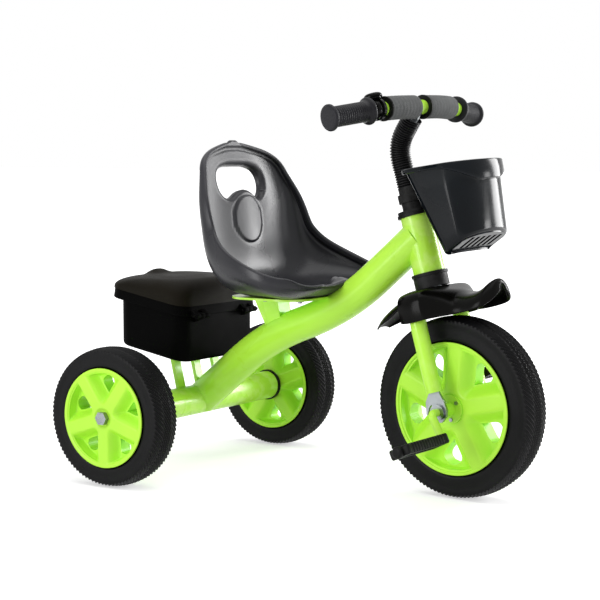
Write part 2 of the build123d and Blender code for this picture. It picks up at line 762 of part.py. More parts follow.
# Pedals: ribbed blocks that turn on the crank's pins, each kept on by a push cap.
pedal_width = 33.0
pedal_height = 14.0
pedal_tilt = 10.0
for name, side in (("right", -1), ("left", 1)):
    pin = (-side * arm_x, 0, -side * arm_z)
    pedal_plane = Plane(origin=pin, x_dir=(cos(radians(pedal_tilt)), 0, sin(radians(pedal_tilt))), z_dir=(0, side, 0))
    with BuildPart() as pedal:
        with BuildSketch(pedal_plane.offset(pedal_inner)):
            RectangleRounded(pedal_width, pedal_height, 2.0)
        extrude(amount=pedal_length)
        with BuildSketch(pedal_plane.offset(pedal_inner + 8)):
            with Locations((-pedal_width / 4 - 1.3, 0), (pedal_width / 4 + 1.3, 0)):
                Rectangle(pedal_width / 2 - 11.5, pedal_height - 5)
        extrude(amount=pedal_length - 16, mode=Mode.SUBTRACT)
        with BuildSketch(pedal_plane.offset(pedal_inner - 1)):
            Circle(crank_rod_radius + running_fit)
        extrude(amount=pedal_length + 2, mode=Mode.SUBTRACT)
    finish(pedal, f"pedal_{name}", front_place)
with BuildPart() as pedal_caps:
    for side in (-1, 1):
        start = side * (pedal_outer + soft_gap)
        add(along_y(8.0, start, start + side * 5, -side * arm_x, -side * arm_z))
    for side in (-1, 1):
        add(along_y(crank_rod_radius, side * 150, side * crank_end, -side * arm_x, -side * arm_z),
            mode=Mode.SUBTRACT)
finish(pedal_caps, "pedal_caps", front_place)

# Fender: a crowned blade over the wheel, a lip in front, and a cover over the crown and leg tops.
blade_radius = 167.0
blade_edge_radius = 152.0
blade_half = 34.0
cover_half = 67.0
cover_rear = -18.0
cover_front = 20.0
cover_low = 126.0
lip_reach = 110.5
fender_bolt_y = 20.0
blade_front_angle = 28.0
blade_rear_angle = 36.0
with BuildPart() as fender_lip:
    with BuildSketch(Plane.XZ):
        Polygon(
            (66, 151), (82, 150), (101, 157), (108, 155), (110.5, 144), (99, 127.5), (86, 125), (86, 128),
            (97, 130.5), (107, 144), (104.5, 152.5), (84, 146.5), (66, 147), align=None,
        )
    extrude(amount=blade_half - 2, both=True)
    with BuildSketch(Plane.XY.offset(110)):
        with Locations((lip_reach / 2, 0)):
            RectangleRounded(lip_reach, 2 * blade_half - 4, blade_half - 8)
    extrude(amount=60, mode=Mode.INTERSECT)
with BuildPart() as crown_cover:
    with BuildSketch(Plane.XZ):
        Polygon(
            (cover_rear, cover_low), (cover_rear, fender_seat - 8), (cover_rear + 8, spacer_low),
            (cover_front, spacer_low), (cover_front + 14, fender_seat - 18), (cover_front, cover_low),
            align=None,
        )
    extrude(amount=cover_half, both=True)
    fillet(crown_cover.edges().filter_by(Axis.Y).group_by(Axis.Z)[-1], 4)
    ends = crown_cover.faces().filter_by(Axis.Z).sort_by(Axis.Z)[-1].edges().filter_by(Axis.X)
    fillet(ends, crown_bend_radius - 6)
with BuildPart() as fender:
    with BuildSketch(Plane.YZ):
        with BuildLine():
            ThreePointArc((-blade_half, blade_edge_radius), (0, blade_radius), (blade_half, blade_edge_radius))
            Line((blade_half, blade_edge_radius), (blade_half - 1.5, blade_edge_radius - fender_wall))
            ThreePointArc(
                (blade_half - 1.5, blade_edge_radius - fender_wall), (0, blade_radius - fender_wall),
                (1.5 - blade_half, blade_edge_radius - fender_wall),
            )
            Line((1.5 - blade_half, blade_edge_radius - fender_wall), (-blade_half, blade_edge_radius))
        make_face()
    revolve(axis=Axis.Y, revolution_arc=blade_front_angle)
    with BuildSketch(Plane.YZ):
        with BuildLine():
            ThreePointArc((-blade_half, blade_edge_radius), (0, blade_radius), (blade_half, blade_edge_radius))
            Line((blade_half, blade_edge_radius), (blade_half - 1.5, blade_edge_radius - fender_wall))
            ThreePointArc(
                (blade_half - 1.5, blade_edge_radius - fender_wall), (0, blade_radius - fender_wall),
                (1.5 - blade_half, blade_edge_radius - fender_wall),
            )
            Line((1.5 - blade_half, blade_edge_radius - fender_wall), (-blade_half, blade_edge_radius))
        make_face()
    revolve(axis=Axis((0, 0, 0), (0, -1, 0)), revolution_arc=blade_rear_angle)
    add(fender_lip.part)
    add(crown_cover.part)
    with BuildSketch(Plane.XZ):
        Polygon(
            (cover_rear + fender_wall, cover_low - 1), (cover_rear + fender_wall, fender_seat - 9),
            (cover_rear + 9, fender_seat), (cover_front - 1, fender_seat),
            (cover_front + 10, fender_seat - 18), (cover_front - fender_wall, cover_low - 1), align=None,
        )
    extrude(amount=cover_half - fender_wall, both=True, mode=Mode.SUBTRACT)
    with BuildSketch(Plane.XZ):
        Circle(blade_edge_radius - fender_wall - 10)
    extrude(amount=blade_half - 4, both=True, mode=Mode.SUBTRACT)
    with BuildSketch(Plane.XY.offset(fender_seat - 20)):
        Circle(boss_radius + soft_gap)
    extrude(amount=20, mode=Mode.SUBTRACT)
    with BuildSketch(Plane.XY.offset(fender_seat)):
        Circle(steerer_radius + 12)
    extrude(amount=fender_wall)
    with BuildSketch(Plane(origin=fork_line.line @ 0, z_dir=fork_line.line % 0)):
        Circle(leg_radius + soft_gap)
    sweep(path=fork_line.line, mode=Mode.SUBTRACT)
    with BuildSketch(Plane.XY.offset(fender_seat - 1)):
        Circle(steerer_radius)
    extrude(amount=fender_wall + 20, mode=Mode.SUBTRACT)
    for y in (-fender_bolt_y, fender_bolt_y):
        with BuildSketch(Plane.YZ):
            with Locations((y, crown_height)):
                Circle(bolt_radius)
        extrude(amount=cover_rear - 5, mode=Mode.SUBTRACT)
finish(fender, "fender", front_place)

# Stem: a socket clamped over the steerer, a bent tube up to the bar and a ribbed sleeve on the tube.
socket_radius = 16.0
socket_low = cap_high
socket_high = 309.0
stem_radius = 8.8
stem_lean_x = -3.0
stem_turn = 50.0
stem_bend_radius = 70.0
sleeve_radius = 14.3
sleeve_low = socket_high + soft_gap
bar_x, bar_z = bar_centre
stem_reach = (bar_x - stem_lean_x) / sin(radians(stem_turn))
stem_corner = (stem_lean_x, bar_z - stem_reach * cos(radians(stem_turn)))
with BuildPart() as stem_socket:
    with BuildSketch(Plane.XY.offset(socket_low)):
        Circle(socket_radius)
    extrude(amount=socket_high - socket_low)
    with BuildSketch(Plane.XY.offset(socket_low)):
        Circle(steerer_radius)
    extrude(amount=steerer_top - socket_low, mode=Mode.SUBTRACT)
finish(stem_socket, "stem_socket", front_place)
with BuildPart() as stem_tube:
    with BuildLine(Plane.XZ) as stem_line:
        FilletPolyline((stem_lean_x, socket_high), stem_corner, (bar_x, bar_z), radius=stem_bend_radius)
    with BuildSketch(Plane(origin=stem_line.line @ 0, z_dir=stem_line.line % 0)):
        Circle(stem_radius)
    sweep(path=stem_line.line)
    add(along_y(bar_radius, -30, 30, bar_x, bar_z), mode=Mode.SUBTRACT)
finish(stem_tube, "stem_tube", front_place)
with BuildPart() as stem_sleeve:
    with BuildSketch(Plane(origin=stem_line.line @ 0, z_dir=stem_line.line % 0).offset(soft_gap)):
        Circle(sleeve_radius)
        Circle(stem_radius, mode=Mode.SUBTRACT)
    sweep(path=stem_line.line)
    with BuildSketch(Plane.XZ):
        with Locations((bar_x, bar_z)):
            Circle(foam_radius + 1)
    extrude(amount=30, both=True, mode=Mode.SUBTRACT)
finish(stem_sleeve, "stem_sleeve", front_place)

# Handlebar: a straight middle and two swept ends, bent in a plane tipped bar_drop below the steering X.
bar_plane = Plane(
    origin=(bar_x, 0, bar_z),
    x_dir=(0, 1, 0),
    z_dir=(sin(radians(bar_drop)), 0, -cos(radians(bar_drop))),
)
bar_corner = bar_straight + bar_bend_radius * tan(radians(bar_sweep / 2))
grip_start = 103.6
grip_span = (grip_start - bar_corner) / cos(radians(bar_sweep))
bar_reach = grip_span + grip_length - 5
bar_end = (
    bar_corner + bar_reach * cos(radians(bar_sweep)),
    bar_reach * sin(radians(bar_sweep)),
)
back = 1 if bar_plane.y_dir.X < 0 else -1
with BuildPart() as handlebar:
    with BuildLine(bar_plane) as bar_line:
        FilletPolyline(
            (-bar_end[0], back * bar_end[1]), (-bar_corner, 0), (bar_corner, 0), (bar_end[0], back * bar_end[1]),
            radius=bar_bend_radius,
        )
    with BuildSketch(Plane(origin=bar_line.line @ 0, z_dir=bar_line.line % 0)):
        Circle(bar_radius)
    sweep(path=bar_line.line)
finish(handlebar, "handlebar", front_place)


def bar_ring(outer, y_from, y_to):
    """A ring that follows the bar between two values of y."""
    with BuildPart() as ring:
        with BuildSketch(Plane(origin=bar_line.line @ 0, z_dir=bar_line.line % 0)):
            Circle(outer)
            Circle(bar_radius, mode=Mode.SUBTRACT)
        sweep(path=bar_line.line)
        with Locations((bar_x, (y_from + y_to) / 2, bar_z)):
            Box(120, y_to - y_from, 120, mode=Mode.INTERSECT)
    return ring


foam_right = bar_ring(foam_radius, -73.0, -9.0)
finish(foam_right, "foam_sleeve_right", front_place)
foam_left = bar_ring(foam_radius, 12.0, 79.0)
finish(foam_left, "foam_sleeve_left", front_place)
with BuildPart() as bar_bands:
    for y_from, y_to in ((-75.0, -73.0), (10.0, 12.0)):
        add(bar_ring(foam_radius + 0.4, y_from, y_to).part)
finish(bar_bands, "bar_bands", front_place)

# Grips: rubber tubes closed at the outer end, with a flange at each end.
for name, side, end in (("right", -1, 0), ("left", 1, 1)):
    tip = bar_line.line @ end
    out = (bar_line.line % end) * side
    grip_plane = Plane(origin=tip, x_dir=Vector(0, 0, 1).cross(out), z_dir=out)
    start = 5.0 - grip_length
    with BuildPart() as grip:
        with BuildSketch(grip_plane.offset(start)):
            Circle(grip_radius)
        extrude(amount=grip_length)
        with BuildSketch(grip_plane.offset(start)):
            Circle(18.5)
        extrude(amount=4)
        with BuildSketch(grip_plane.offset(3)):
            Circle(17.8)
        extrude(amount=4.5)
        with BuildSketch(grip_plane.offset(start - 10)):
            Circle(bar_radius)
        extrude(amount=-start + 10, mode=Mode.SUBTRACT)
        with BuildSketch(grip_plane.offset(5)):
            Circle(3)
        extrude(amount=5, mode=Mode.SUBTRACT)
    finish(grip, f"grip_{name}", front_place)

# Bell: a clamp round the bar, a base cup, a dome and a sprung striker lever.
clamp_y = -85.5
bell_x = bar_x - 5.3
bell_y = -88.5
bell_z = bar_z - 1.1
bell_post = 14.0
cup_height = 1.8
bell_radius = 12.5
dome_height = 5.5
dome_wall = 1.2
dome_low = bell_z + bell_post + cup_height + 0.5
lever_x = bell_x - 8.5
lever_y = bell_y - 4.5
lever_low = bell_z + bell_post - 3.6
lever_thickness = 2.2
with BuildPart() as bell_base:
    with BuildSketch(Plane.XZ.offset(-clamp_y - 2.5)):
        with Locations((bell_x, bell_z)):
            Circle(15.0)
    extrude(amount=5)
    with BuildSketch(Plane.XY.offset(bell_z + bell_post)):
        with Locations((bell_x, bell_y)):
            Circle(bell_radius - 2)
    extrude(amount=cup_height)
    with BuildSketch(Plane(origin=bar_line.line @ 0, z_dir=bar_line.line % 0)):
        Circle(bar_radius)
    sweep(path=bar_line.line, mode=Mode.SUBTRACT)
    with BuildSketch(Plane.XY.offset(bell_z + bell_post)):
        with Locations((bell_x, bell_y)):
            Circle(2.5)
    extrude(amount=cup_height + 3)
finish(bell_base, "bell_base", front_place)
with BuildPart() as dome_hollow:
    with BuildSketch(Plane.XY.offset(dome_low)):
        with Locations((bell_x, bell_y)):
            Circle(bell_radius - dome_wall)
    extrude(amount=dome_height - dome_wall)
    fillet(dome_hollow.edges().sort_by(Axis.Z)[-1], dome_height - dome_wall - 1)
with BuildPart() as bell_dome:
    with BuildSketch(Plane.XY.offset(dome_low)):
        with Locations((bell_x, bell_y)):
            Circle(bell_radius)
    extrude(amount=dome_height)
    fillet(bell_dome.edges().sort_by(Axis.Z)[-1], dome_height - 1)
    add(dome_hollow.part, mode=Mode.SUBTRACT)
    with BuildSketch(Plane.XY.offset(dome_low - 0.5)):
        with Locations((bell_x, bell_y)):
            Circle(4)
    extrude(amount=dome_height - dome_wall / 2 + 0.5)
    with BuildSketch(Plane.XY.offset(dome_low - 0.5)):
        with Locations((bell_x, bell_y)):
            Circle(2.5)
    extrude(amount=3, mode=Mode.SUBTRACT)
finish(bell_dome, "bell_dome", front_place)

# Bell lever: a thumb lever that turns on a post under the cup.
with BuildPart() as bell_lever_pin:
    with BuildSketch(Plane.XY.offset(bell_z + bell_post)):
        with Locations((lever_x, lever_y)):
            Circle(1.5)
    extrude(amount=-4.4)
    with BuildSketch(Plane.XY.offset(lever_low - 0.3)):
        with Locations((lever_x, lever_y)):
            Circle(2.6)
    extrude(amount=-0.8)
finish(bell_lever_pin, "bell_lever_pin", front_place)
with BuildPart() as bell_lever:
    with BuildSketch(Plane.XY.offset(lever_low)):
        with Locations((lever_x, lever_y)):
            Circle(3.5)
        with Locations((lever_x - 10, lever_y)):
            Rectangle(20, 5)
        with Locations((lever_x - 20, lever_y)):
            Circle(4.2)
        with Locations((lever_x, lever_y)):
            Circle(1.5 + running_fit, mode=Mode.SUBTRACT)
    extrude(amount=lever_thickness)
finish(bell_lever, "bell_lever", front_place)

# Basket: a D-shaped bucket with a leaning back wall, a flat sloped floor with slots and a turned rim.
basket_wall = 2.5
rim_rear = (43.0, 323.0)
rim_slope = -4.7
floor_rear = (67.5, 201.0)
floor_slope = 19.0
rim_half = 61.0
rim_straight = 60.0
rim_reach = 92.0
floor_half = 56.0
floor_straight = 32.0
floor_reach = 54.0
rim_turn = 4.0
rim_turn_side = 8.0
rim_turn_front = 27.0


def d_outline(half, straight, reach, corner, inset):
    """A D: a straight back, straight sides that end in corners, and a bowed front."""
    side = half - inset
    with BuildLine() as outline:
        Polyline((inset, -side), (straight, -side))
        ThreePointArc((straight, -side), (reach - inset, 0), (straight, side))
        Polyline((straight, side), (inset, side), (inset, -side))
    with BuildSketch() as face:
        add(outline.line)
        make_face()
        fillet(face.vertices(), corner - inset)
    return face.sketch


rim_plane = Plane(
    origin=(rim_rear[0], 0, rim_rear[1]),
    x_dir=(cos(radians(rim_slope)), 0, sin(radians(rim_slope))),
    z_dir=(-sin(radians(rim_slope)), 0, cos(radians(rim_slope))),
)
floor_plane = Plane(
    origin=(floor_rear[0], 0, floor_rear[1]),
    x_dir=(cos(radians(floor_slope)), 0, sin(radians(floor_slope))),
    z_dir=(-sin(radians(floor_slope)), 0, cos(radians(floor_slope))),
)
basket_corner = 14.0
with BuildPart() as basket:
    with BuildSketch(floor_plane):
        add(d_outline(floor_half, floor_straight, floor_reach, basket_corner, 0))
    with BuildSketch(rim_plane):
        add(d_outline(rim_half, rim_straight, rim_reach, basket_corner, 0))
    loft()
    with BuildSketch(floor_plane.offset(basket_wall)):
        add(d_outline(floor_half, floor_straight, floor_reach, basket_corner, basket_wall))
    with BuildSketch(rim_plane.offset(1)):
        add(d_outline(rim_half, rim_straight, rim_reach, basket_corner, basket_wall))
    loft(mode=Mode.SUBTRACT)


# Rim of the basket: a flat turn outward and a skirt, short at the sides and deep in front.
with BuildPart() as rim_skirt:
    with BuildSketch(rim_plane.offset(-rim_turn_front)):
        add(d_outline(rim_half, rim_straight, rim_reach, basket_corner, -rim_turn))
        add(d_outline(rim_half, rim_straight, rim_reach, basket_corner, 2 - rim_turn), mode=Mode.SUBTRACT)
    extrude(amount=rim_turn_front)
    with BuildSketch(rim_plane.offset(-2)):
        add(d_outline(rim_half, rim_straight, rim_reach, basket_corner, -rim_turn))
        add(d_outline(rim_half, rim_straight, rim_reach, basket_corner, 1.0), mode=Mode.SUBTRACT)
    extrude(amount=2)
    with BuildSketch(Plane(origin=rim_plane.origin, x_dir=rim_plane.x_dir, z_dir=(0, -1, 0))):
        with BuildLine():
            Line((-8, -rim_turn_side), (48, -rim_turn_side))
            Spline((48, -rim_turn_side), (62, -13), (78, -rim_turn_front + 1), tangents=((1, 0), (1, -0.2)))
            Polyline((78, -rim_turn_front + 1), (110, -rim_turn_front - 5), (-8, -rim_turn_front - 5),
                     (-8, -rim_turn_side))
        make_face()
    extrude(amount=rim_half + 20, both=True, mode=Mode.SUBTRACT)

# Bracket: a collar on the stem socket, an arm, and a plate down the basket's back wall.
wall_lean = (floor_rear[0] - rim_rear[0]) / (rim_rear[1] - floor_rear[1])
bracket_thickness = 3.0
bracket_half = 14.0
bracket_low = 252.0
bracket_high = 312.0
collar_low = 288.0
collar_high = 300.0
basket_screw_radius = 2.0
basket_screw_heights = (262.0, 308.0)


def back_wall(height):
    """X of the basket's back wall, outer face, at a height."""
    return rim_rear[0] + (rim_rear[1] - height) * wall_lean


def basket_screw(height):
    """One screw square to the back wall: shank, head inside the basket and nut behind the bracket."""
    lean = degrees(atan2(rim_rear[1] - floor_rear[1], floor_rear[0] - rim_rear[0]))
    tilt = radians(90 - lean)
    plane = Plane(origin=(back_wall(height), 0, height), x_dir=(0, 1, 0), z_dir=(cos(tilt), 0, sin(tilt)))
    with BuildPart() as screw:
        with BuildSketch(plane.offset(-bracket_thickness - 4)):
            Circle(basket_screw_radius)
        extrude(amount=bracket_thickness + 4 + basket_wall + 0.2)
    with BuildPart() as ends:
        with BuildSketch(plane.offset(basket_wall + 0.2)):
            Circle(4.5)
        extrude(amount=2)
        with BuildSketch(plane.offset(-bracket_thickness)):
            RegularPolygon(4, 6)
        extrude(amount=-3)
    return screw.part, ends.part


with BuildPart() as basket_bracket:
    with BuildSketch(Plane.XZ):
        Polygon(
            (back_wall(bracket_low) - bracket_thickness, bracket_low), (back_wall(bracket_low), bracket_low),
            (back_wall(bracket_high), bracket_high),
            (back_wall(bracket_high) - bracket_thickness, bracket_high), align=None,
        )
    extrude(amount=bracket_half, both=True)
    with BuildSketch(Plane.XZ):
        Polygon(
            (5, collar_low), (back_wall(collar_low) - 1, collar_low),
            (back_wall(collar_high) - 1, collar_high), (5, collar_high), align=None,
        )
    extrude(amount=bracket_half - 4, both=True)
    with BuildSketch(Plane.XY.offset(collar_low)):
        Circle(socket_radius + 3)
    extrude(amount=collar_high - collar_low)
    with BuildSketch(Plane.XY.offset(collar_low - 1)):
        Circle(socket_radius)
    extrude(amount=collar_high - collar_low + 2, mode=Mode.SUBTRACT)
    for height in basket_screw_heights:
        add(basket_screw(height)[0], mode=Mode.SUBTRACT)
finish(basket_bracket, "basket_bracket", front_place)
with BuildPart() as basket_screws:
    for height in basket_screw_heights:
        add(basket_screw(height)[0])
        add(basket_screw(height)[1])
finish(basket_screws, "basket_screws", front_place)

slot_count = 6
slot_pitch = 13.0
with BuildPart() as basket_shell:
    add(basket.part)
    add(rim_skirt.part)
    with BuildSketch(floor_plane.offset(-2)):
        with Locations((floor_reach / 2 + 1, 0)):
            with GridLocations(1, slot_pitch, 1, slot_count):
                SlotOverall(24, 4.5)
    extrude(amount=basket_wall + 4, mode=Mode.SUBTRACT)
    for height in basket_screw_heights:
        add(basket_screw(height)[0], mode=Mode.SUBTRACT)
finish(basket_shell, "basket", front_place)

# Fender bolts: from behind, through the cover's rear wall into the crown tube.
with BuildPart() as fender_bolts:
    for y in (-fender_bolt_y, fender_bolt_y):
        with BuildSketch(Plane.YZ):
            with Locations((y, crown_height)):
                Circle(bolt_radius)
        extrude(amount=cover_rear)
        with BuildSketch(Plane.YZ.offset(cover_rear)):
            with Locations((y, crown_height)):
                Circle(5.5)
        extrude(amount=-3.5)
    add(along_y(leg_radius, -40, 40, 0, crown_height), mode=Mode.SUBTRACT)
finish(fender_bolts, "fender_bolts", front_place)
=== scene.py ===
# %% [markdown]
# A child's tricycle is rebuilt here as a set of surfaces around a solid model. The solid model
# gives the places, the sizes and the moving bodies. Each cell below says what a piece is on the real
# tricycle, and then works its surface out as whole numpy arrays.

import json
from math import cos, pi, radians, sin, tan

import bmesh
import bpy
import numpy as np
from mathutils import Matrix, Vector


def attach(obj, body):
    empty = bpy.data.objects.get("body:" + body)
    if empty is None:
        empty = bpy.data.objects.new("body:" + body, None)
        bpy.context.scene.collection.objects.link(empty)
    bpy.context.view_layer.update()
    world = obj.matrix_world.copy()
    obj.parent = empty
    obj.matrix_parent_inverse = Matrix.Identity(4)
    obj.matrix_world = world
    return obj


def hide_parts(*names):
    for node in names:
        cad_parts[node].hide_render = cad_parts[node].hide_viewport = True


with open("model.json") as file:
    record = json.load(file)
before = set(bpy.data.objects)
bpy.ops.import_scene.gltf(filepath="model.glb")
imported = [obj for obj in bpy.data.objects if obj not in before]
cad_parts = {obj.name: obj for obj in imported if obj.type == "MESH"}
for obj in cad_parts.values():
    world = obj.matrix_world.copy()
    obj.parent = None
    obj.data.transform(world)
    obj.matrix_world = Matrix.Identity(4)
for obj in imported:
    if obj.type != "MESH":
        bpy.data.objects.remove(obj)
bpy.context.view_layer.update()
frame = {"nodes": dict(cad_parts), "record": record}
cad = frame["nodes"]

# %% [markdown]
# Two places are used all through. Frame pieces are drawn in millimetres from the rear axle's middle,
# X forward. Pieces that steer are drawn from the front axle, with Z up the steering axis, because a
# fork and a handlebar are easy to describe when the axis they turn on stands upright.

# %% Places of the frame and of the fork
WHEELBASE = 444.5
FRONT_RADIUS = 125.0
REAR_RADIUS = 99.0
HALF_TRACK = 204.1
MIDDLE_X = 235.25
RAKE = radians(15.6)
REST_TURN = radians(-6.33)
MM = 0.001
SIDES = (("right", -1), ("left", 1))
HINGE_Y = (-60.0, 60.0)


def in_frame(points):
    """Frame millimetres to metres: the middle of the tricycle's length is taken off X."""
    return (np.asarray(points, float) - (MIDDLE_X, 0.0, 0.0)) * MM


def in_fork(points):
    """Fork millimetres to metres: a turn about the steering axis, a lean by the rake, then the front axle's place."""
    x, y, z = np.moveaxis(np.asarray(points, float), -1, 0)
    turned_x = x * cos(REST_TURN) - y * sin(REST_TURN)
    turned_y = x * sin(REST_TURN) + y * cos(REST_TURN)
    leaned = (
        WHEELBASE + turned_x * cos(RAKE) - z * sin(RAKE),
        turned_y,
        FRONT_RADIUS + turned_x * sin(RAKE) + z * cos(RAKE),
    )
    return in_frame(np.stack(leaned, axis=-1))


print("front axle at", in_fork((0, 0, 0)).round(4))

# %% [markdown]
# Every new surface is a grid of points. A grid becomes a sheet of four-sided faces, and it can be
# closed on itself in one or both directions, as a tyre is. Several grids that share their edge points
# are welded into one skin, so a rim or a basket has no open seams.


# %% Turn grids of points into meshes
def grid_quads(rows, columns, close_rows, close_columns, start):
    """Face corners: each point with its neighbour along the row, across it, and back."""
    r = np.arange(rows if close_rows else rows - 1)[:, None]
    c = np.arange(columns if close_columns else columns - 1)[None, :]
    r_next, c_next = (r + 1) % rows, (c + 1) % columns
    corners = (r * columns + c, r * columns + c_next, r_next * columns + c_next, r_next * columns + c)
    return start + np.stack(np.broadcast_arrays(*corners), axis=-1).reshape(-1, 4)


def skin(name, grids, place, smooth=40.0, weld=0.00002):
    """One object from grids of (points, close_rows, close_columns, keep): corners are welded, faces point out."""
    points, faces, start = [], [], 0
    for grid in grids:
        array, close_rows, close_columns, *keep = grid
        array = np.asarray(array, float)
        quads = grid_quads(array.shape[0], array.shape[1], close_rows, close_columns, start)
        if keep:
            quads = quads[np.asarray(keep[0]).reshape(-1)]
        points.append(place(array).reshape(-1, 3))
        faces.append(quads)
        start += array.shape[0] * array.shape[1]
    points, faces = np.concatenate(points), np.concatenate(faces)
    mesh = bpy.data.meshes.new(name)
    mesh.vertices.add(len(points))
    mesh.vertices.foreach_set("co", points.astype(np.float32).ravel())
    mesh.loops.add(faces.size)
    mesh.loops.foreach_set("vertex_index", faces.astype(np.int32).ravel())
    mesh.polygons.add(len(faces))
    mesh.polygons.foreach_set("loop_start", np.arange(0, faces.size, 4, dtype=np.int32))
    mesh.update(calc_edges=True)
    shaped = bmesh.new()
    shaped.from_mesh(mesh)
    bmesh.ops.remove_doubles(shaped, verts=shaped.verts, dist=weld)
    loose = [v for v in shaped.verts if not v.link_faces]
    bmesh.ops.delete(shaped, geom=loose, context="VERTS")
    bmesh.ops.recalc_face_normals(shaped, faces=shaped.faces)
    shaped.to_mesh(mesh)
    shaped.free()
    mesh.polygons.foreach_set("use_smooth", np.ones(len(mesh.polygons), bool))
    mesh.set_sharp_from_angle(angle=radians(smooth))
    piece = bpy.data.objects.new(name, mesh)
    bpy.context.scene.collection.objects.link(piece)
    return piece


def rounded(corners, radius, steps=5, closed=False):
    """A line through the corners with each one cut back and replaced by a quadratic curve between the two cuts."""
    corners = np.asarray(corners, float)
    radii = np.broadcast_to(radius, len(corners))
    line = []
    for i, corner in enumerate(corners):
        if not closed and i in (0, len(corners) - 1) or radii[i] == 0:
            line.append(corner[None])
            continue
        before, after = corners[i - 1] - corner, corners[(i + 1) % len(corners)] - corner
        cut = min(radii[i], 0.49 * np.linalg.norm(before), 0.49 * np.linalg.norm(after))
        first = corner + before / np.linalg.norm(before) * cut
        last = corner + after / np.linalg.norm(after) * cut
        t = np.linspace(0, 1, steps + 1)[:, None]
        line.append((1 - t) ** 2 * first + 2 * t * (1 - t) * corner + t**2 * last)
    return np.concatenate(line)


def resample(line, count):
    """The same line with its points at equal steps of its own length."""
    line = np.asarray(line, float)
    along = np.concatenate(([0], np.cumsum(np.linalg.norm(np.diff(line, axis=0), axis=1))))
    even = np.linspace(0, along[-1], count)
    return np.stack([np.interp(even, along, line[:, k]) for k in range(line.shape[1])], axis=-1)


def turned_y(profile, angles=96, centre=(0.0, 0.0, 0.0)):
    """A profile of (y, radius) carried once round a line along Y through the centre."""
    angle = np.linspace(0, 2 * pi, angles, endpoint=False) if np.isscalar(angles) else np.asarray(angles)
    y, radius = np.asarray(profile, float).T
    x = radius[None, :] * np.cos(angle)[:, None] + centre[0]
    z = radius[None, :] * np.sin(angle)[:, None] + centre[2]
    return np.stack([x, np.broadcast_to(y + centre[1], x.shape), z], axis=-1)


def carried(path, section, size):
    """A closed section of (side, up) carried along a path, scaled by size at each point. Each copy is
    square to the path and turns as little as it can."""
    path, section = np.asarray(path, float), np.asarray(section, float)
    tangent = np.gradient(path, axis=0)
    tangent /= np.linalg.norm(tangent, axis=1, keepdims=True)
    up = np.array((0.0, 0.0, 1.0)) if abs(tangent[0, 2]) < 0.9 else np.array((1.0, 0.0, 0.0))
    sides = np.zeros_like(path)
    side = np.cross(up, tangent[0])
    for i, direction in enumerate(tangent):
        side = side - direction * np.dot(side, direction)
        side /= np.linalg.norm(side)
        sides[i] = side
    ups = np.cross(tangent, sides)
    size = np.asarray(size, float)
    return (
        path[:, None]
        + size[:, None, None] * (section[None, :, :1] * sides[:, None] + section[None, :, 1:] * ups[:, None])
    )


def circle(radius, count=40):
    """Points round a circle."""
    angle = np.linspace(0, 2 * pi, count, endpoint=False)
    return np.stack([radius * np.cos(angle), radius * np.sin(angle)], axis=-1)


def ease(value, low, high):
    """0 below low, 1 above high, and a soft S between them."""
    t = np.clip((value - low) / (high - low), 0, 1)
    return t * t * (3 - 2 * t)


def fasten(piece, body, finish, replaced=()):
    """The piece rides on its body, takes its finish and stands for its CAD nodes."""
    piece.data.materials.clear()
    piece.data.materials.append(finish)
    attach(piece, body)
    if replaced:
        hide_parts(*replaced)
    faces = len(piece.data.polygons)
    print(piece.name, "on", body, "has", faces, "faces")
    return piece

# %% [markdown]
# The real pieces have few materials: powder-coated steel, moulded plastics, foam rubber and zinc. All
# of them share three effects, so each effect is a node group that is built once: a fine grain with
# broad patches, wear along edges, and dust on faces that look up. The groups put out only masks and
# heights. The shader itself stays in each material.


# %% A small builder for node groups
def new_group(name, inputs, outputs):
    """An empty group with float inputs (name, value) and float outputs."""
    group = bpy.data.node_groups.new(name, "ShaderNodeTree")
    for label, value in inputs:
        socket = group.interface.new_socket(label, in_out="INPUT", socket_type="NodeSocketFloat")
        socket.default_value = value
    for label in outputs:
        group.interface.new_socket(label, in_out="OUTPUT", socket_type="NodeSocketFloat")
    return group, group.nodes.new("NodeGroupInput"), group.nodes.new("NodeGroupOutput")


def noise(tree, scale, detail, vector=None):
    """A noise texture on Object coordinates."""
    node = tree.nodes.new("ShaderNodeTexNoise")
    node.inputs["Detail"].default_value = detail
    if vector is None:
        vector = tree.nodes.new("ShaderNodeTexCoord").outputs["Object"]
    tree.links.new(vector, node.inputs["Vector"])
    if isinstance(scale, (int, float)):
        node.inputs["Scale"].default_value = scale
    else:
        tree.links.new(scale, node.inputs["Scale"])
    return node.outputs["Fac"]


def mapped(tree, value, low, high, to_low=0.0, to_high=1.0):
    """A soft map of one range to another."""
    node = tree.nodes.new("ShaderNodeMapRange")
    node.interpolation_type = "SMOOTHSTEP"
    for label, number in (("From Min", low), ("From Max", high), ("To Min", to_low), ("To Max", to_high)):
        node.inputs[label].default_value = number
    tree.links.new(value, node.inputs["Value"])
    return node.outputs["Result"]


def times(tree, first, second, operation="MULTIPLY"):
    """Two values joined by a Math node."""
    node = tree.nodes.new("ShaderNodeMath")
    node.operation = operation
    for socket, value in zip(node.inputs, (first, second)):
        if isinstance(value, (int, float)):
            socket.default_value = value
        else:
            tree.links.new(value, socket)
    return node.outputs[0]


# %% Grain and patches
grain, grain_in, grain_out = new_group(
    "grain and patches", (("Grain Scale", 900.0), ("Patch Scale", 9.0)), ("Height", "Patch")
)
grain.links.new(noise(grain, grain_in.outputs["Grain Scale"], 3.0), grain_out.inputs["Height"])
grain.links.new(
    mapped(grain, noise(grain, grain_in.outputs["Patch Scale"], 4.0), 0.32, 0.68), grain_out.inputs["Patch"]
)

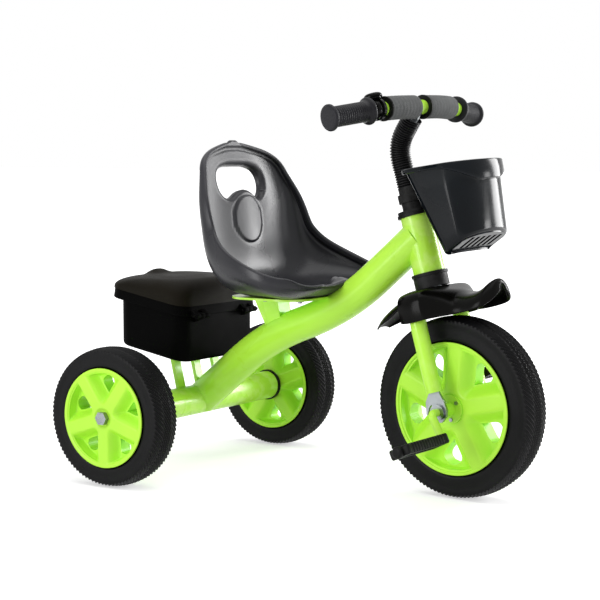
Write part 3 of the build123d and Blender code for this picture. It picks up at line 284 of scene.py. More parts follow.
# %% Wear along edges
wear, wear_in, wear_out = new_group("edge wear", (("Scale", 60.0),), ("Edge",))
sharpness = wear.nodes.new("ShaderNodeNewGeometry").outputs["Pointiness"]
broken = mapped(wear, noise(wear, wear_in.outputs["Scale"], 5.0), 0.42, 0.62)
wear.links.new(times(wear, mapped(wear, sharpness, 0.53, 0.62), broken), wear_out.inputs["Edge"])

# %% Dust on what looks up
dust, dust_in, dust_out = new_group("dust", (("Scale", 30.0),), ("Dust",))
facing = dust.nodes.new("ShaderNodeSeparateXYZ")
dust.links.new(dust.nodes.new("ShaderNodeNewGeometry").outputs["Normal"], facing.inputs[0])
settled = mapped(dust, noise(dust, dust_in.outputs["Scale"], 6.0), 0.35, 0.75)
dust.links.new(times(dust, mapped(dust, facing.outputs["Z"], 0.5, 1.0), settled), dust_out.inputs["Dust"])
print("groups:", [g.name for g in bpy.data.node_groups])

# %% [markdown]
# A finish is one material: a colour that changes a little in broad patches, is lighter on worn edges
# and greyer under dust, with a grain that drives a Bump node. Numbers that are the same all over the
# surface are set on the shader's own sockets.


# %% Make a finish
DUST_COLOUR = (0.42, 0.4, 0.37)


def finish(name, colour, roughness, grain_scale=900.0, bump=0.08, patch=0.12, patch_scale=9.0,
           worn=None, wear_amount=0.0, dusty=0.0, metallic=0.0, coat=0.0, coat_roughness=0.1,
           rough_swing=0.06, specular=0.5):
    """A Principled material fed by the grain, wear and dust groups."""
    material = bpy.data.materials.new(name)
    material.use_nodes = True
    tree = material.node_tree
    shader = tree.nodes["Principled BSDF"]
    shader.inputs["Metallic"].default_value = metallic
    shader.inputs["Coat Weight"].default_value = coat
    shader.inputs["Coat Roughness"].default_value = coat_roughness
    shader.inputs["Specular IOR Level"].default_value = specular

    def use(group, **values):
        node = tree.nodes.new("ShaderNodeGroup")
        node.node_tree = group
        for label, value in values.items():
            node.inputs[label.replace("_", " ")].default_value = value
        return node.outputs

    def blend(factor, first, second):
        node = tree.nodes.new("ShaderNodeMix")
        node.data_type = "RGBA"
        sockets = [s for s in node.inputs if s.type == "RGBA"]
        tree.links.new(factor, node.inputs["Factor"])
        for socket, value in zip(sockets, (first, second)):
            if isinstance(value, tuple):
                socket.default_value = (*value, 1.0)
            else:
                tree.links.new(value, socket)
        return next(s for s in node.outputs if s.type == "RGBA")

    surface = use(grain, Grain_Scale=grain_scale, Patch_Scale=patch_scale)
    darker = tuple(c * (1 - patch) for c in colour)
    lighter = tuple(min(1.0, c * (1 + patch)) for c in colour)
    shade = blend(surface["Patch"], darker, lighter)
    if wear_amount:
        edge = times(tree, use(wear)["Edge"], wear_amount)
        shade = blend(edge, shade, worn or tuple(0.5 * c + 0.3 for c in colour))
    if dusty:
        film = times(tree, use(dust)["Dust"], dusty)
        shade = blend(film, shade, DUST_COLOUR)
    tree.links.new(shade, shader.inputs["Base Color"])
    swing = mapped(tree, surface["Patch"], 0.0, 1.0, roughness - rough_swing, roughness + rough_swing)
    tree.links.new(swing, shader.inputs["Roughness"])
    relief = tree.nodes.new("ShaderNodeBump")
    relief.inputs["Strength"].default_value = bump
    relief.inputs["Distance"].default_value = 0.0006
    tree.links.new(surface["Height"], relief.inputs["Height"])
    tree.links.new(relief.outputs["Normal"], shader.inputs["Normal"])
    return material


# %% The tricycle's finishes
lime_coat = finish("lime powder coat", (0.47, 0.86, 0.062), 0.27, 700.0, 0.06, 0.04, coat=0.18, coat_roughness=0.1,
                   worn=(0.66, 0.92, 0.25), wear_amount=0.4, dusty=0.01, specular=0.3)
lime_plastic = finish("lime moulded plastic", (0.455, 0.86, 0.05), 0.4, 900.0, 0.06, 0.04,
                      worn=(0.62, 0.95, 0.22), wear_amount=0.3, specular=0.35)
black_moulding = finish("black moulded plastic", (0.006, 0.006, 0.0058), 0.42, 1400.0, 0.25, 0.15,
                        worn=(0.03, 0.03, 0.03), wear_amount=0.5, dusty=0.006, specular=0.1)
tub_plastic = finish("matt black tub plastic", (0.0013, 0.0013, 0.0013), 0.55, 1400.0, 0.2, 0.15,
                     worn=(0.012, 0.012, 0.012), wear_amount=0.5, dusty=0.003, specular=0.016)
# The lid's top is a lighter, browner black than the tub and than the lid's own skirt: painted light on the top face.
lid_top_painted_light = finish("black lid top with painted light", (0.0075, 0.0062, 0.0038), 0.55, 1600.0, 0.3, 0.12,
                     worn=(0.03, 0.028, 0.022), wear_amount=0.5, dusty=0.006, specular=0.05)
seat_plastic = finish("grey seat plastic", (0.021, 0.021, 0.025), 0.32, 1100.0, 0.12, 0.08,
                      worn=(0.11, 0.11, 0.125), wear_amount=0.4, dusty=0.008, specular=0.26)
basket_plastic = finish("blue black basket plastic", (0.0030, 0.0046, 0.0065), 0.13, 900.0, 0.03, 0.2,
                        worn=(0.04, 0.045, 0.055), wear_amount=0.4, specular=0.14)
tyre_foam = finish("black foam tyre", (0.0028, 0.0028, 0.0032), 0.34, 1300.0, 0.4, 0.3, 24.0,
                   worn=(0.05, 0.05, 0.052), wear_amount=0.5, dusty=0.006, specular=0.11)
bar_foam = finish("grey bar foam", (0.085, 0.088, 0.088), 0.85, 1500.0, 0.9, 0.2, 40.0, dusty=0.02, specular=0.3)
grip_rubber = finish("grip rubber", (0.0105, 0.0105, 0.013), 0.42, 1300.0, 0.3, 0.25,
                     worn=(0.04, 0.04, 0.045), wear_amount=0.5, specular=0.16)
hose_plastic = finish("black ribbed hose plastic", (0.006, 0.006, 0.0065), 0.34, 1300.0, 0.1, 0.2,
                      worn=(0.04, 0.04, 0.044), wear_amount=0.5, specular=0.14)
glossy_black = finish("glossy black plastic", (0.0022, 0.0022, 0.0018), 0.2, 900.0, 0.03, 0.2,
                      worn=(0.03, 0.03, 0.035), wear_amount=0.4, specular=0.07)
zinc = finish("bright zinc", (0.27, 0.29, 0.30), 0.3, 600.0, 0.12, 0.1, 60.0, metallic=1.0, rough_swing=0.1)
print(len(bpy.data.materials), "materials")

# %% [markdown]
# The wheels are moulded rims inside solid foam tyres. A rim has five wide soft spokes. Between them
# the face falls away into pockets, and each pocket ends in a small window near the lip. The face is
# worked out as a height over angle and radius, and the grid opens like a slit to leave each window.


# %% The rim
def rim_grids(lip, seat, face, seat_half, hub, hub_half, bore, pocket, window, spoke_half, side_run, web, phase):
    """Height over (radius, angle): full at a spoke, falling by the least of three ramps (side, hub, lip) to a thin
    web at the window. The grid's first column follows the window's edge, a superellipse in radius."""
    dish = 0.5
    fifth = pi / 5
    inner, outer = window
    swell = 0.5 * (1 - np.cos(np.linspace(0, pi, 17)))
    radii = np.concatenate((
        [bore], np.linspace(hub - 3, hub + 3, 7), np.linspace(hub + 4.5, inner - 1, 12),
        inner + (outer - inner) * swell, np.linspace(outer + 0.7, lip - 3.2, 11), [lip - 2.5],
    ))
    half_window = np.clip(fifth - (spoke_half + side_run) / radii, 0, None)
    reach = np.clip((radii - (inner + outer) / 2) / ((outer - inner) / 2), -1, 1)
    half_window *= np.where(reach < 0, (1 - np.abs(reach) ** 3.5) ** (1 / 2.2), (1 - np.abs(reach) ** 2.4) ** 0.8)
    share = np.linspace(0, 1, 19) ** 1.15
    turn = half_window[:, None] + (fifth - half_window[:, None]) * share[None, :]
    arc = radii[:, None] * (fifth - turn)
    side_ramp = (arc - spoke_half) / side_run
    hub_ramp = ((radii - pocket[0]) / (inner - pocket[0]))[:, None] + 0 * turn
    lip_ramp = ((pocket[1] - radii) / (pocket[1] - outer))[:, None] + 0 * turn
    ramps = np.stack((side_ramp, hub_ramp, lip_ramp))
    soft = -np.log(np.exp(-7 * ramps).sum(axis=0)) / 7
    fall = ease(soft, -0.12, 1.0) ** 0.85
    level = np.where(radii < hub, hub_half, face - dish) + dish * ease(radii, lip - 5.0, lip - 2.6)
    hub_step = 2.5
    step = hub_half + (face - dish - hub_half) * ease(radii, hub - hub_step, hub + hub_step)
    level = np.where(abs(radii - hub) < hub_step, step, level)
    height = level[:, None] * (1 - fall) + web * fall
    grids = []
    barrel_corners = ((lip - 2.5, face), (lip, face), (lip, seat_half), (seat, seat_half), (seat, 0))
    rings = rounded(barrel_corners, (0, 1.6, 0.4, 0.4, 0))
    for k in range(5):
        middle = phase + 2 * fifth * k
        for sign in (-1, 1):
            angle = middle + sign * turn
            flat = np.stack([radii[:, None] * np.cos(angle), 0 * angle, radii[:, None] * np.sin(angle)], axis=-1)
            for front in (-1, 1):
                grids.append((flat + np.stack([0 * angle, front * height, 0 * angle], axis=-1), False, False))
            edge = np.stack([flat[:, 0] + (0, -1, 0) * height[:, :1], flat[:, 0] + (0, 1, 0) * height[:, :1]], axis=1)
            opened = (half_window[:-1] + half_window[1:] > 0.001)[:, None]
            grids.append((edge, False, False, opened))
            for front in (-1, 1):
                barrel = turned_y(rings[:, ::-1] * (front, 1), angle[-1])
                grids.append((barrel, False, False))
            sleeve = turned_y(((-hub_half, bore), (hub_half, bore)), angle[0])
            grids.append((sleeve, False, False))
    return grids


def rim(name, body, node, place, centre, phase, sizes):
    """The rim's skin, moved to its wheel's centre."""
    piece = skin(name, rim_grids(phase=phase, **sizes), lambda p: place(p + centre), 50.0, 0.00003)
    return fasten(piece, body, lime_plastic, (node,))


front_sizes = dict(lip=91.3, seat=84.0, face=26.05, seat_half=23.85, hub=20.0, hub_half=24.0, bore=6.4,
                   pocket=(28.0, 87.0), window=(43.0, 81.0), spoke_half=11.0, side_run=16.5, web=10.0)
rear_sizes = dict(lip=70.4, seat=63.5, face=25.35, seat_half=23.15, hub=13.0, hub_half=22.0, bore=6.4,
                  pocket=(20.0, 65.0), window=(33.0, 60.0), spoke_half=9.0, side_run=12.5, web=10.0)
rim("rim_front", "front_wheel", "front_rim", in_fork, (0, 0, 0), radians(33), front_sizes)
for (side, sign), phase in zip(SIDES, (18.0, 57.0)):
    rim(f"rim_rear_{side}", f"wheel_{side}", f"rear_rim_{side}", in_frame,
        (0, sign * HALF_TRACK, REAR_RADIUS), radians(phase), rear_sizes)

# %% [markdown]
# A foam tyre is one moulded ring. Its side walls are smooth, and the tread has fine slanted ribs that
# change direction across the middle, with a shallow groove between the bands. The ribs are real relief:
# the tread's radius is lowered by a wave in the angle whose phase shifts with the width.


# %% The tyres
def tyre_grids(radius, rim_radius, seat, width, ribs):
    """A closed section carried round. The tread's radius is lowered by the rib depth times one less
    wave to the power 1.6, where wave is a sine of (ribs x angle + slant) from 0 to 1, and by a groove."""
    half = width / 2
    crown = 4.0
    across = np.linspace(-half + 0.4, half - 0.4, 45)
    tread = radius - crown * np.abs(across / half) ** 2.6
    right = rounded(((half - 0.4, tread[-1]), (half, tread[-1] - 5), (half - 0.6, radius - 16),
                     (half - 0.1, rim_radius + 5),
                     (half - 1.2, rim_radius + 1), (half - 5, rim_radius + 0.6), (half - 5, seat + 1)), 3.0, 4)[1:]
    left = right[::-1] * (-1, 1)
    section = np.concatenate((left, np.stack((across, tread), axis=-1), right))
    angle = np.linspace(0, 2 * pi, ribs * 6, endpoint=False)[:, None]
    y, base = section.T[:, None, :]
    band = np.abs(y) / half
    on_tread = ease(base, radius - 9.0, radius - 4.5)
    slant = np.where(band < 0.33, 0.0, 1.9 * np.sign(y) * (band - 0.33) * 4)
    wave = 0.5 + 0.5 * np.sin(ribs * angle + slant * pi + np.where(band < 0.33, 1.4 * y, 0))
    ribs_depth = 2.3 * on_tread * (1 - 0.75 * np.exp(-((band - 0.36) / 0.05) ** 2)) * (1 - wave**1.6)
    groove = 1.1 * on_tread * np.exp(-((band - 0.36) / 0.045) ** 2)
    r = base - ribs_depth - groove
    return [(np.stack([r * np.cos(angle), y + 0 * angle, r * np.sin(angle)], axis=-1), True, True)]


def tyre(name, body, node, place, centre, sizes):
    """The tyre's skin, moved to its wheel's centre."""
    piece = skin(name, tyre_grids(*sizes), lambda p: place(p + centre), 60.0)
    return fasten(piece, body, tyre_foam, (node,))


tyre("tyre_front", "front_wheel", "front_tyre", in_fork, (0, 0, 0), (FRONT_RADIUS, 91.3, 84.0, 48.3, 116))
for side, sign in SIDES:
    tyre(f"tyre_rear_{side}", f"wheel_{side}", f"rear_tyre_{side}", in_frame,
         (0, sign * HALF_TRACK, REAR_RADIUS), (REAR_RADIUS, 70.4, 63.5, 46.9, 92))

# %% [markdown]
# The seat is one moulded shell: a pan, a tall back and a wing at each side, with a hole in the back to
# carry the tricycle by. It is a sheet over two directions. One runs from the front lip over the pan and
# up the back, the other from the middle out to the wing's tip. Both are smooth splines through a few
# stations, the same ones the solid seat is lofted through.


# %% Splines and shells
def spline_at(knots, values, t):
    """A natural cubic spline: each span is a cubic whose second slopes meet, found from one small matrix."""
    knots, values = np.asarray(knots, float), np.asarray(values, float)
    n, step = len(knots), np.diff(knots)
    matrix, right = np.eye(n), np.zeros((n, values.shape[1]))
    for i in range(1, n - 1):
        matrix[i, i - 1 : i + 2] = step[i - 1], 2 * (step[i - 1] + step[i]), step[i]
        right[i] = 6 * ((values[i + 1] - values[i]) / step[i] - (values[i] - values[i - 1]) / step[i - 1])
    bend = np.linalg.solve(matrix, right)
    t = np.asarray(t, float)
    i = np.clip(np.searchsorted(knots, t) - 1, 0, n - 2)
    a, b = ((knots[i + 1] - t) / step[i])[..., None], ((t - knots[i]) / step[i])[..., None]
    h = step[i][..., None]
    return a * values[i] + b * values[i + 1] + ((a**3 - a) * bend[i] + (b**3 - b) * bend[i + 1]) * h * h / 6


def chords(values):
    """Knots at the lengths of the straight steps between the values, from 0 to 1."""
    length = np.concatenate(([0], np.cumsum(np.linalg.norm(np.diff(np.asarray(values, float), axis=0), axis=1))))
    return length / length[-1]


def rim_strip(first, second, outward, steps=6):
    """A closed half-round strip that joins two outlines: their middle plus half their gap turned from one side to the
    other. It bulges square to both the outline and the gap (their cross product), on the side that
    outward points to."""
    middle, half = (first + second) / 2, (first - second) / 2
    size = np.linalg.norm(half, axis=-1, keepdims=True)
    side = np.cross(np.roll(middle, -1, axis=0) - np.roll(middle, 1, axis=0), half)
    side *= np.sign((side * outward).sum()) / np.maximum(np.linalg.norm(side, axis=-1, keepdims=True), 1e-9)
    angle = np.linspace(0, pi, steps + 1)[:, None, None]
    return middle + half * np.cos(angle) + side * size * np.sin(angle)


def outline_of(sheet):
    """The points round a sheet's four sides, in order."""
    return np.concatenate((sheet[0, :-1], sheet[:-1, -1], sheet[-1, :0:-1], sheet[:0:-1, 0]))


def outward_from(sheet):
    """At each point of the outline, the direction out of the sheet: the steps from its inner neighbours, added."""
    def unit(vector):
        return vector / np.linalg.norm(vector, axis=-1, keepdims=True)

    step = np.zeros_like(sheet)
    step[0] += unit(sheet[0] - sheet[1])
    step[-1] += unit(sheet[-1] - sheet[-2])
    step[:, 0] += unit(sheet[:, 0] - sheet[:, 1])
    step[:, -1] += unit(sheet[:, -1] - sheet[:, -2])
    return outline_of(step)


# %% The seat's sheet
SEAT = np.array((
    (262.0, 281.0, 0.0, 12.0, 104.0), (234.0, 267.2, 1.0, 30.0, 133.0), (200.0, 267.0, 3.0, 40.0, 146.0),
    (160.0, 267.0, 0.0, 58.0, 143.0), (118.0, 276.0, 15.5, 65.0, 135.0), (92.0, 310.0, 28.5, 45.0, 129.0),
    (80.0, 355.0, 33.0, 16.0, 125.0), (74.0, 400.0, 26.0, 6.0, 119.0), (67.0, 440.0, 18.0, 2.0, 103.0),
    (61.0, 470.0, 10.0, 1.0, 72.0), (57.0, 484.0, 4.0, 0.0, 30.0),
))
WING = np.array(((-1.0, 1.0), (-0.88, 0.25), (-0.6, 0.02), (0.0, 0.0), (0.6, 0.02), (0.88, 0.25), (1.0, 1.0)))
seat_knots = chords(SEAT[:, :2])
wing_knots = chords(WING) * 2 - 1


def seat_at(u, v):
    """A station's middle, plus v's share of its half width and the wing's share of its lift, plus a swell at the waist.
    The first stretch narrows to the front as a quarter circle, which rounds the two front corners.
    The last stretch narrows to the top in the same way."""
    station = spline_at(seat_knots, SEAT, u)
    wing = spline_at(wing_knots, WING, v)
    waist = (
        10.0 * np.exp(-((wing[..., 0] / 0.52) ** 2))
        * ease(station[..., 1], 295, 350) * ease(-station[..., 1], -472, -412)
    )
    x = station[..., 0] + wing[..., 1] * station[..., 2] + waist
    corner = 1 - 0.42 * (1 - np.sqrt(1 - (1 - np.clip(u / 0.09, 0, 1)) ** 2))
    corner *= 1 - 0.5 * (1 - np.sqrt(1 - (1 - np.clip((1 - u) / 0.035, 0, 1)) ** 2))
    y = wing[..., 0] * station[..., 4] * corner
    z = station[..., 1] + wing[..., 1] * station[..., 3] * (0.3 + 0.7 * ease(u, -0.005, 0.065))
    return np.stack([x, y, z], axis=-1)


def seat_normal(u, v):
    """The unit cross product of the two small steps along u and v; it points to the rider."""
    du = seat_at(np.clip(u + 0.002, 0, 1), v) - seat_at(np.clip(u - 0.002, 0, 1), v)
    dv = seat_at(u, np.clip(v + 0.004, -1, 1)) - seat_at(u, np.clip(v - 0.004, -1, 1))
    across = np.cross(dv, du)
    return across / np.linalg.norm(across, axis=-1, keepdims=True)


probe = np.linspace(0, 1, 400)
middle_line = seat_at(probe, 0 * probe)
back = probe > 0.5


def seat_u(height):
    """The u at which the seat's middle line reaches a height on the back."""
    return float(np.interp(height, middle_line[back, 2], probe[back]))


print("seat rises from", middle_line[:, 2].min().round(1), "to", middle_line[:, 2].max().round(1))

# %% The handle hole's outline
HOLE_MIDDLE = np.array((0.0, 431.0))
hole_half = np.array(((0, 453), (24, 452.5), (42, 448), (52, 439), (55, 428), (53, 417), (47, 408), (38, 403.5),
                      (29, 405),
                      (20, 411), (10, 415.5), (0, 417)), float)
hole_corners = np.concatenate((hole_half, hole_half[-2:0:-1] * (-1, 1)))
hole_line = rounded(hole_corners, 6.0, 5, closed=True)
hole_line = resample(np.concatenate((hole_line, hole_line[:1])), 421)[:-1]
hole_turn = np.unwrap(np.arctan2(*(hole_line - HOLE_MIDDLE).T[::-1]))
order = np.argsort(hole_turn)
side_table = np.linspace(-1, 1, 801)
share_table = spline_at(wing_knots, WING, side_table)[:, 0]


def seat_uv(y, z):
    """The u and v of a point of the back: its height on the middle line, then its share of the half width there."""
    u = np.interp(z, middle_line[back, 2], probe[back])
    return u, np.interp(y / spline_at(seat_knots, SEAT, u)[..., 4], share_table, side_table)


hole_u, hole_v = seat_uv(*hole_line.T)
hole_points = seat_at(hole_u, hole_v)
print("handle hole", np.ptp(hole_line, axis=0).round(1), "mm wide and high")

# %% The seat's skin
PATCH_LOW, PATCH_HIGH, PATCH_HALF = seat_u(388.0), seat_u(474.0), 0.72
DISC_LOW = seat_u(333.0)
seat_rows = np.concatenate((0.09 * (1 - np.cos(np.linspace(0, pi / 2, 15))), np.linspace(0.1, DISC_LOW - 0.008, 42),
                            np.linspace(DISC_LOW, PATCH_LOW - 0.004, 38), np.linspace(PATCH_LOW, PATCH_HIGH, 40),
                            1 - (0.996 - PATCH_HIGH) * (1 - np.sin(np.linspace(0, pi / 2, 14)))))
side_columns = np.concatenate((np.linspace(PATCH_HALF, 0.93, 14)[1:], np.linspace(0.94, 1.0, 8)))
seat_columns = np.concatenate((-side_columns[::-1], np.linspace(-PATCH_HALF, PATCH_HALF, 93), side_columns))
r0, r1 = (int(np.argmin(np.abs(seat_rows - level))) for level in (PATCH_LOW, PATCH_HIGH))
c0, c1 = len(side_columns), len(side_columns) + 92
sheet_u, sheet_v = (a.T for a in np.meshgrid(seat_rows, seat_columns))
edge_uv = (np.concatenate((a[0], a[1:, -1], a[-1, -2::-1], a[-2::-1, 0])) for a in (sheet_u, sheet_v))
seat_edge = resample(seat_at(*edge_uv), 1500)


def nearest_to(points, line):
    """Each point's distance to the nearest point of a line, from the two squared lengths less twice their product."""
    flat = points.reshape(-1, 3)
    squared = (flat**2).sum(axis=1)[:, None] + (line**2).sum(axis=1)[None, :] - 2 * flat @ line.T
    return np.sqrt(np.clip(squared.min(axis=1), 0, None)).reshape(points.shape[:-1])


def seat_faces(u, v):
    """The rider's side and the back of the shell. The wall is thicker in a bead along the edge, rolls back round the
    hole as a quarter circle, and carries a raised disc, two thigh hollows and a pommel."""
    middle, normal = seat_at(u, v), seat_normal(u, v)
    x, y, z = np.moveaxis(middle, -1, 0)
    edge, hole = nearest_to(middle, seat_edge), nearest_to(middle, hole_points)
    bead = 2.7 * ease(-edge, -8.5, -5.0) - 0.9 * np.exp(-(((edge - 10.5) / 1.8) ** 2))
    ring = np.hypot(y, z - 373.0)
    disc = (1.5 * ease(-ring, -34.6, -32.2) - 0.8 * np.exp(-(((ring - 35.4) / 1.5) ** 2))) * (x < 125) * (z > 320)
    roll = 8.5 * (1 - np.sqrt(1 - np.clip(1 - hole / 8.5, 0, 1) ** 2))
    thigh = 4.5 * np.exp(-(((np.abs(y) - 50) / 26) ** 2)) * ease(x, 150, 215) * ease(-x, -262, -240)
    pommel = 20.0 * np.exp(-((y / 27) ** 2)) * ease(x, 195, 254) * ease(-x, -268, -250)
    dimples = 0.0
    for dx, dy in ((150, -26), (150, 26), (205, -26), (205, 26)):
        dimples = dimples + 1.1 * np.exp(-(((x - dx) ** 2 + (y - dy) ** 2) / 60.0) ** 2) * (z < 300)
    lift = 3.4 + bead + disc + pommel - thigh * 0.62 - dimples - roll
    sink = 0.4 + 9.5 * ease(-hole, -10.0, -3.0)
    inner, outer = middle + normal * lift[..., None], middle - normal * sink[..., None]
    over_plate = (z < 268.0) & (x > 113) & (x < 243)
    outer[..., 2] = np.where(over_plate, np.maximum(outer[..., 2], 267.1), outer[..., 2])
    return inner, outer


inside_patch = np.zeros((len(seat_rows) - 1, len(seat_columns) - 1), bool)
inside_patch[r0:r1, c0:c1] = True
border_u, border_v = (
    np.concatenate((a[r0, c0:c1], a[r0:r1, c1], a[r1, c1:c0:-1], a[r1:r0:-1, c0])) for a in (sheet_u, sheet_v)
)
border = seat_at(border_u, border_v)
turn = np.arctan2(border[:, 2] - HOLE_MIDDLE[1], border[:, 1] - HOLE_MIDDLE[0])
near_u, near_v = (np.interp(turn, hole_turn[order], a[order], period=2 * pi) for a in (hole_u, hole_v))
spread = np.concatenate((np.linspace(0, 0.5, 12), np.linspace(0.58, 1.0, 7)))[:, None]
round_u, round_v = near_u * (1 - spread) + border_u * spread, near_v * (1 - spread) + border_v * spread
sheet_inner, sheet_outer = seat_faces(sheet_u, sheet_v)
round_inner, round_outer = seat_faces(round_u, round_v)
seat_grids = [(sheet, False, False, ~inside_patch) for sheet in (sheet_inner, sheet_outer)]
seat_grids += [(ring, False, True) for ring in (round_inner, round_outer)]
tunnel = round_inner[0] + (round_outer[0] - round_inner[0]) * np.linspace(0, 1, 5)[:, None, None]
seat_grids.append((tunnel, False, True))
seat_outward = outward_from(seat_at(sheet_u, sheet_v))
seat_grids.append((rim_strip(outline_of(sheet_inner), outline_of(sheet_outer), seat_outward), False, True))
seat = skin("seat", seat_grids, in_frame, 50.0, 0.000004)
fasten(seat, "frame", seat_plastic, ("seat_shell",))

# %% [markdown]
# Behind the seat is a lidded box. Its walls are upright, but its floor and rim rise towards the rear,
# so every level is a rounded rectangle whose height grows with the distance behind the front wall.
# The lid is a wide cap: an upright skirt round the box, a soft shoulder, and a nearly flat top with a
# low dome at the rear to lift it by. Tub and lid each end in half of the hinge's knuckles.

# %% Levels of the box
BOX_SLOPE = tan(radians(10.2))
BOX_FRONT, BOX_REAR, BOX_HALF = 36.0, -87.0, 92.0
CORNER_STEPS, SIDE_STEPS, LONG_STEPS = 12, 18, 30


def box_ring(inset, corner, height, front=BOX_FRONT, rear=BOX_REAR, half=BOX_HALF, sloped=1.0):
    """A rectangle with quarter circle corners and points along its straight sides, lifted by the slope."""
    front, rear, half = front - inset, rear + inset, half - inset
    quarter = np.linspace(0, pi / 2, CORNER_STEPS)
    centres = ((front - corner, half - corner), (rear + corner, half - corner),
               (rear + corner, corner - half), (front - corner, corner - half))
    arcs = [np.stack([cx + corner * np.cos(quarter + k * pi / 2), cy + corner * np.sin(quarter + k * pi / 2)], axis=-1)
            for k, (cx, cy) in enumerate(centres)]
    ring = []
    for k, arc in enumerate(arcs):
        share = np.linspace(0, 1, (SIDE_STEPS, LONG_STEPS)[k % 2] + 2)[1:-1, None]
        ring += [arc, arc[-1] * (1 - share) + arcs[(k + 1) % 4][0] * share]
    ring = np.concatenate(ring)
    lift = height + sloped * (BOX_FRONT - ring[:, 0]) * BOX_SLOPE
    return np.concatenate([ring, lift[:, None]], axis=-1)


def pole(ring):
    """The ring drawn in to its own middle, to close a top or a floor."""
    return np.broadcast_to(ring.mean(axis=0), ring.shape)


def slab(outline, y_from, y_to, edge=0.5):
    """An outline of (x, z) carried along Y, drawn in a little at both ends and closed there."""
    outline = np.asarray(outline, float)
    middle = outline.mean(axis=0)
    size = np.linalg.norm(outline - middle, axis=1).mean()
    rows = []
    for share, y in ((1 - edge / size, y_from), (1, y_from + edge), (1, y_to - edge), (1 - edge / size, y_to)):
        flat = middle + (outline - middle) * share
        rows.append(np.stack([flat[:, 0], np.full(len(flat), y), flat[:, 1]], axis=-1))
    return (np.stack([pole(rows[0]), *rows, pole(rows[-1])]), False, True)


def knuckle(reach, low, high):
    """The outline of a knuckle: a half circle round the pin, and a root on the wall."""
    turn = np.linspace(radians(-75), radians(100), 16)
    nose = np.stack([47 + 4 * np.cos(turn), 232 + 4 * np.sin(turn)], axis=-1)
    return np.concatenate((nose, resample(((reach, high), (reach, low)), 4)))


body_levels = [(8.0, 163.6), (3.5, 164.0), (1.2, 165.4), (0.2, 167.8), (0.0, 171.0), (0.0, 205.0), (0.0, 242.0),
               (0.5, 244.8), (1.3, 245.2), (2.2, 244.8), (2.5, 242.0), (2.5, 205.0), (2.5, 170.0), (3.6, 167.6),
               (8.0, 166.4)]
body_rings = [box_ring(inset, max(22.0 - inset, 12.0), height) for inset, height in body_levels]
tub_grids = [(np.stack([pole(body_rings[0]), *body_rings, pole(body_rings[-1])]), False, True)]
tub_grids += [slab(knuckle(35.0, 222.0, 238.0), y - 5.0, y + 5.0) for y in HINGE_Y]
fasten(skin("box_tub", tub_grids, in_frame, 40.0), "frame", tub_plastic, ("box_body",))


# %% The lid
def lid_ring(inset, height, rise):
    """A level of the lid: the skirt's slope at the crease, blended to the top's gentler slope as it
    rises, with the dome."""
    corner = min(24.0 + 0.9 * inset, 97.0 - inset)
    ring = box_ring(inset, min(corner, 69.0 - inset), height, 40.0, -101.0, 98.0)
    top = 282.3 + 0.032 * (16.0 - ring[:, 0]) + 1.6 * (1 - (ring[:, 1] / 98.0) ** 2)
    top = top + 7.2 * np.exp(-np.abs((ring[:, 0] + 86.0) / 12.0) ** 3 - np.abs(ring[:, 1] / 20.0) ** 3)
    ring[:, 2] = ring[:, 2] * (1 - rise) + top * rise
    return ring


climb = np.linspace(0, pi / 2, 15)
shoulder = [(1.0 + 27.0 * (1 - np.cos(a) ** 0.95), np.sin(a) ** 0.8) for a in climb]
plateau = [(28.0 + d, 1.0) for d in (2.5, 5, 8, 12, 17, 23, 30, 36, 40)]
top_levels = [(1.5, 246.7, 0.0), (0.5, 246.9, 0.0)] + [(i - 0.4, 247.4, r) for i, r in shoulder + plateau]
top_rings = [lid_ring(*level) for level in top_levels]
inner_rings = [lid_ring(i + 2.0, h, r) - (0, 0, 2.4 if r > 0 else 0.0) for i, h, r in reversed(top_levels[1:-3])]
lid_rows = [pole(inner_rings[0]), *inner_rings, *top_rings, pole(top_rings[-1])]
lid_skin = skin("box_lid_top", [(np.stack(lid_rows), False, True)], in_frame, smooth=40.0)
# The top takes a lighter, browner black than the skirt below it, which wears the tub's black: painted light on the
# lid's top.
fasten(lid_skin, "lid", lid_top_painted_light, ("box_lid",))

# %% The lid's skirt
skirt_levels = [(2.4, 246.6), (1.5, 246.8), (1.1, 246.2), (1.0, 244.0), (0.7, 239.0), (0.2, 234.6), (0.1, 233.2),
                (0.5, 232.6),
                (1.3, 232.8), (1.9, 233.8), (2.7, 239.0), (3.2, 244.0)]
skirt_rings = [lid_ring(inset, height, 0.0) for inset, height in skirt_levels]
skirt_grids = [(np.stack(skirt_rings), True, True)]
for y in HINGE_Y:
    for side in (-1, 1):
        skirt_grids.append(slab(knuckle(39.0, 233.5, 241.0), *sorted((y + side * 5.3, y + side * 15.3))))
fasten(skin("box_lid_skirt", skirt_grids, in_frame, 40.0), "lid", tub_plastic)

# %% [markdown]
# The basket is a glossy moulded bucket with a flat back against the stem and a round front. Its rim
# turns out and hangs down as a skirt, which is deeper in front. Its floor slopes and has slots. The
# wall is a stack of outlines between the floor's and the rim's, each an equal share of the way.

# %% The basket
FLOOR = dict(rear=(67.5, 201.0), slope=19.0, half=56.0, straight=30.0, reach=54.0)
RIM = dict(rear=(43.0, 325.5), slope=-7.5, half=62.0, straight=56.0, reach=91.0)


def d_outline(half, straight, reach, corner=14.0, ear=7.0):
    """A back whose ends reach rearward, round corners, straight sides and a half ellipse: (forward, side) points."""
    turn = np.linspace(0, pi / 2, 9)[:-1]
    back = np.stack([0 * turn, np.linspace(0, half - corner, 9)[:-1]], axis=-1)
    bend = np.stack([corner - corner * np.cos(turn), half - corner + corner * np.sin(turn)], axis=-1)
    side = np.stack([np.linspace(corner, straight, 13)[:-1], np.full(12, half)], axis=-1)
    nose = np.linspace(0, pi / 2, 27)
    front = np.stack([straight + (reach - straight) * np.sin(nose), half * np.cos(nose)], axis=-1)
    one = np.concatenate((back, bend, side, front))
    one[:, 0] -= ear * ease(one[:, 1], 22.0, half - 6.0) * ease(-one[:, 0], -straight, 0.0)
    return np.concatenate((one, one[-2:0:-1] * (1, -1)))


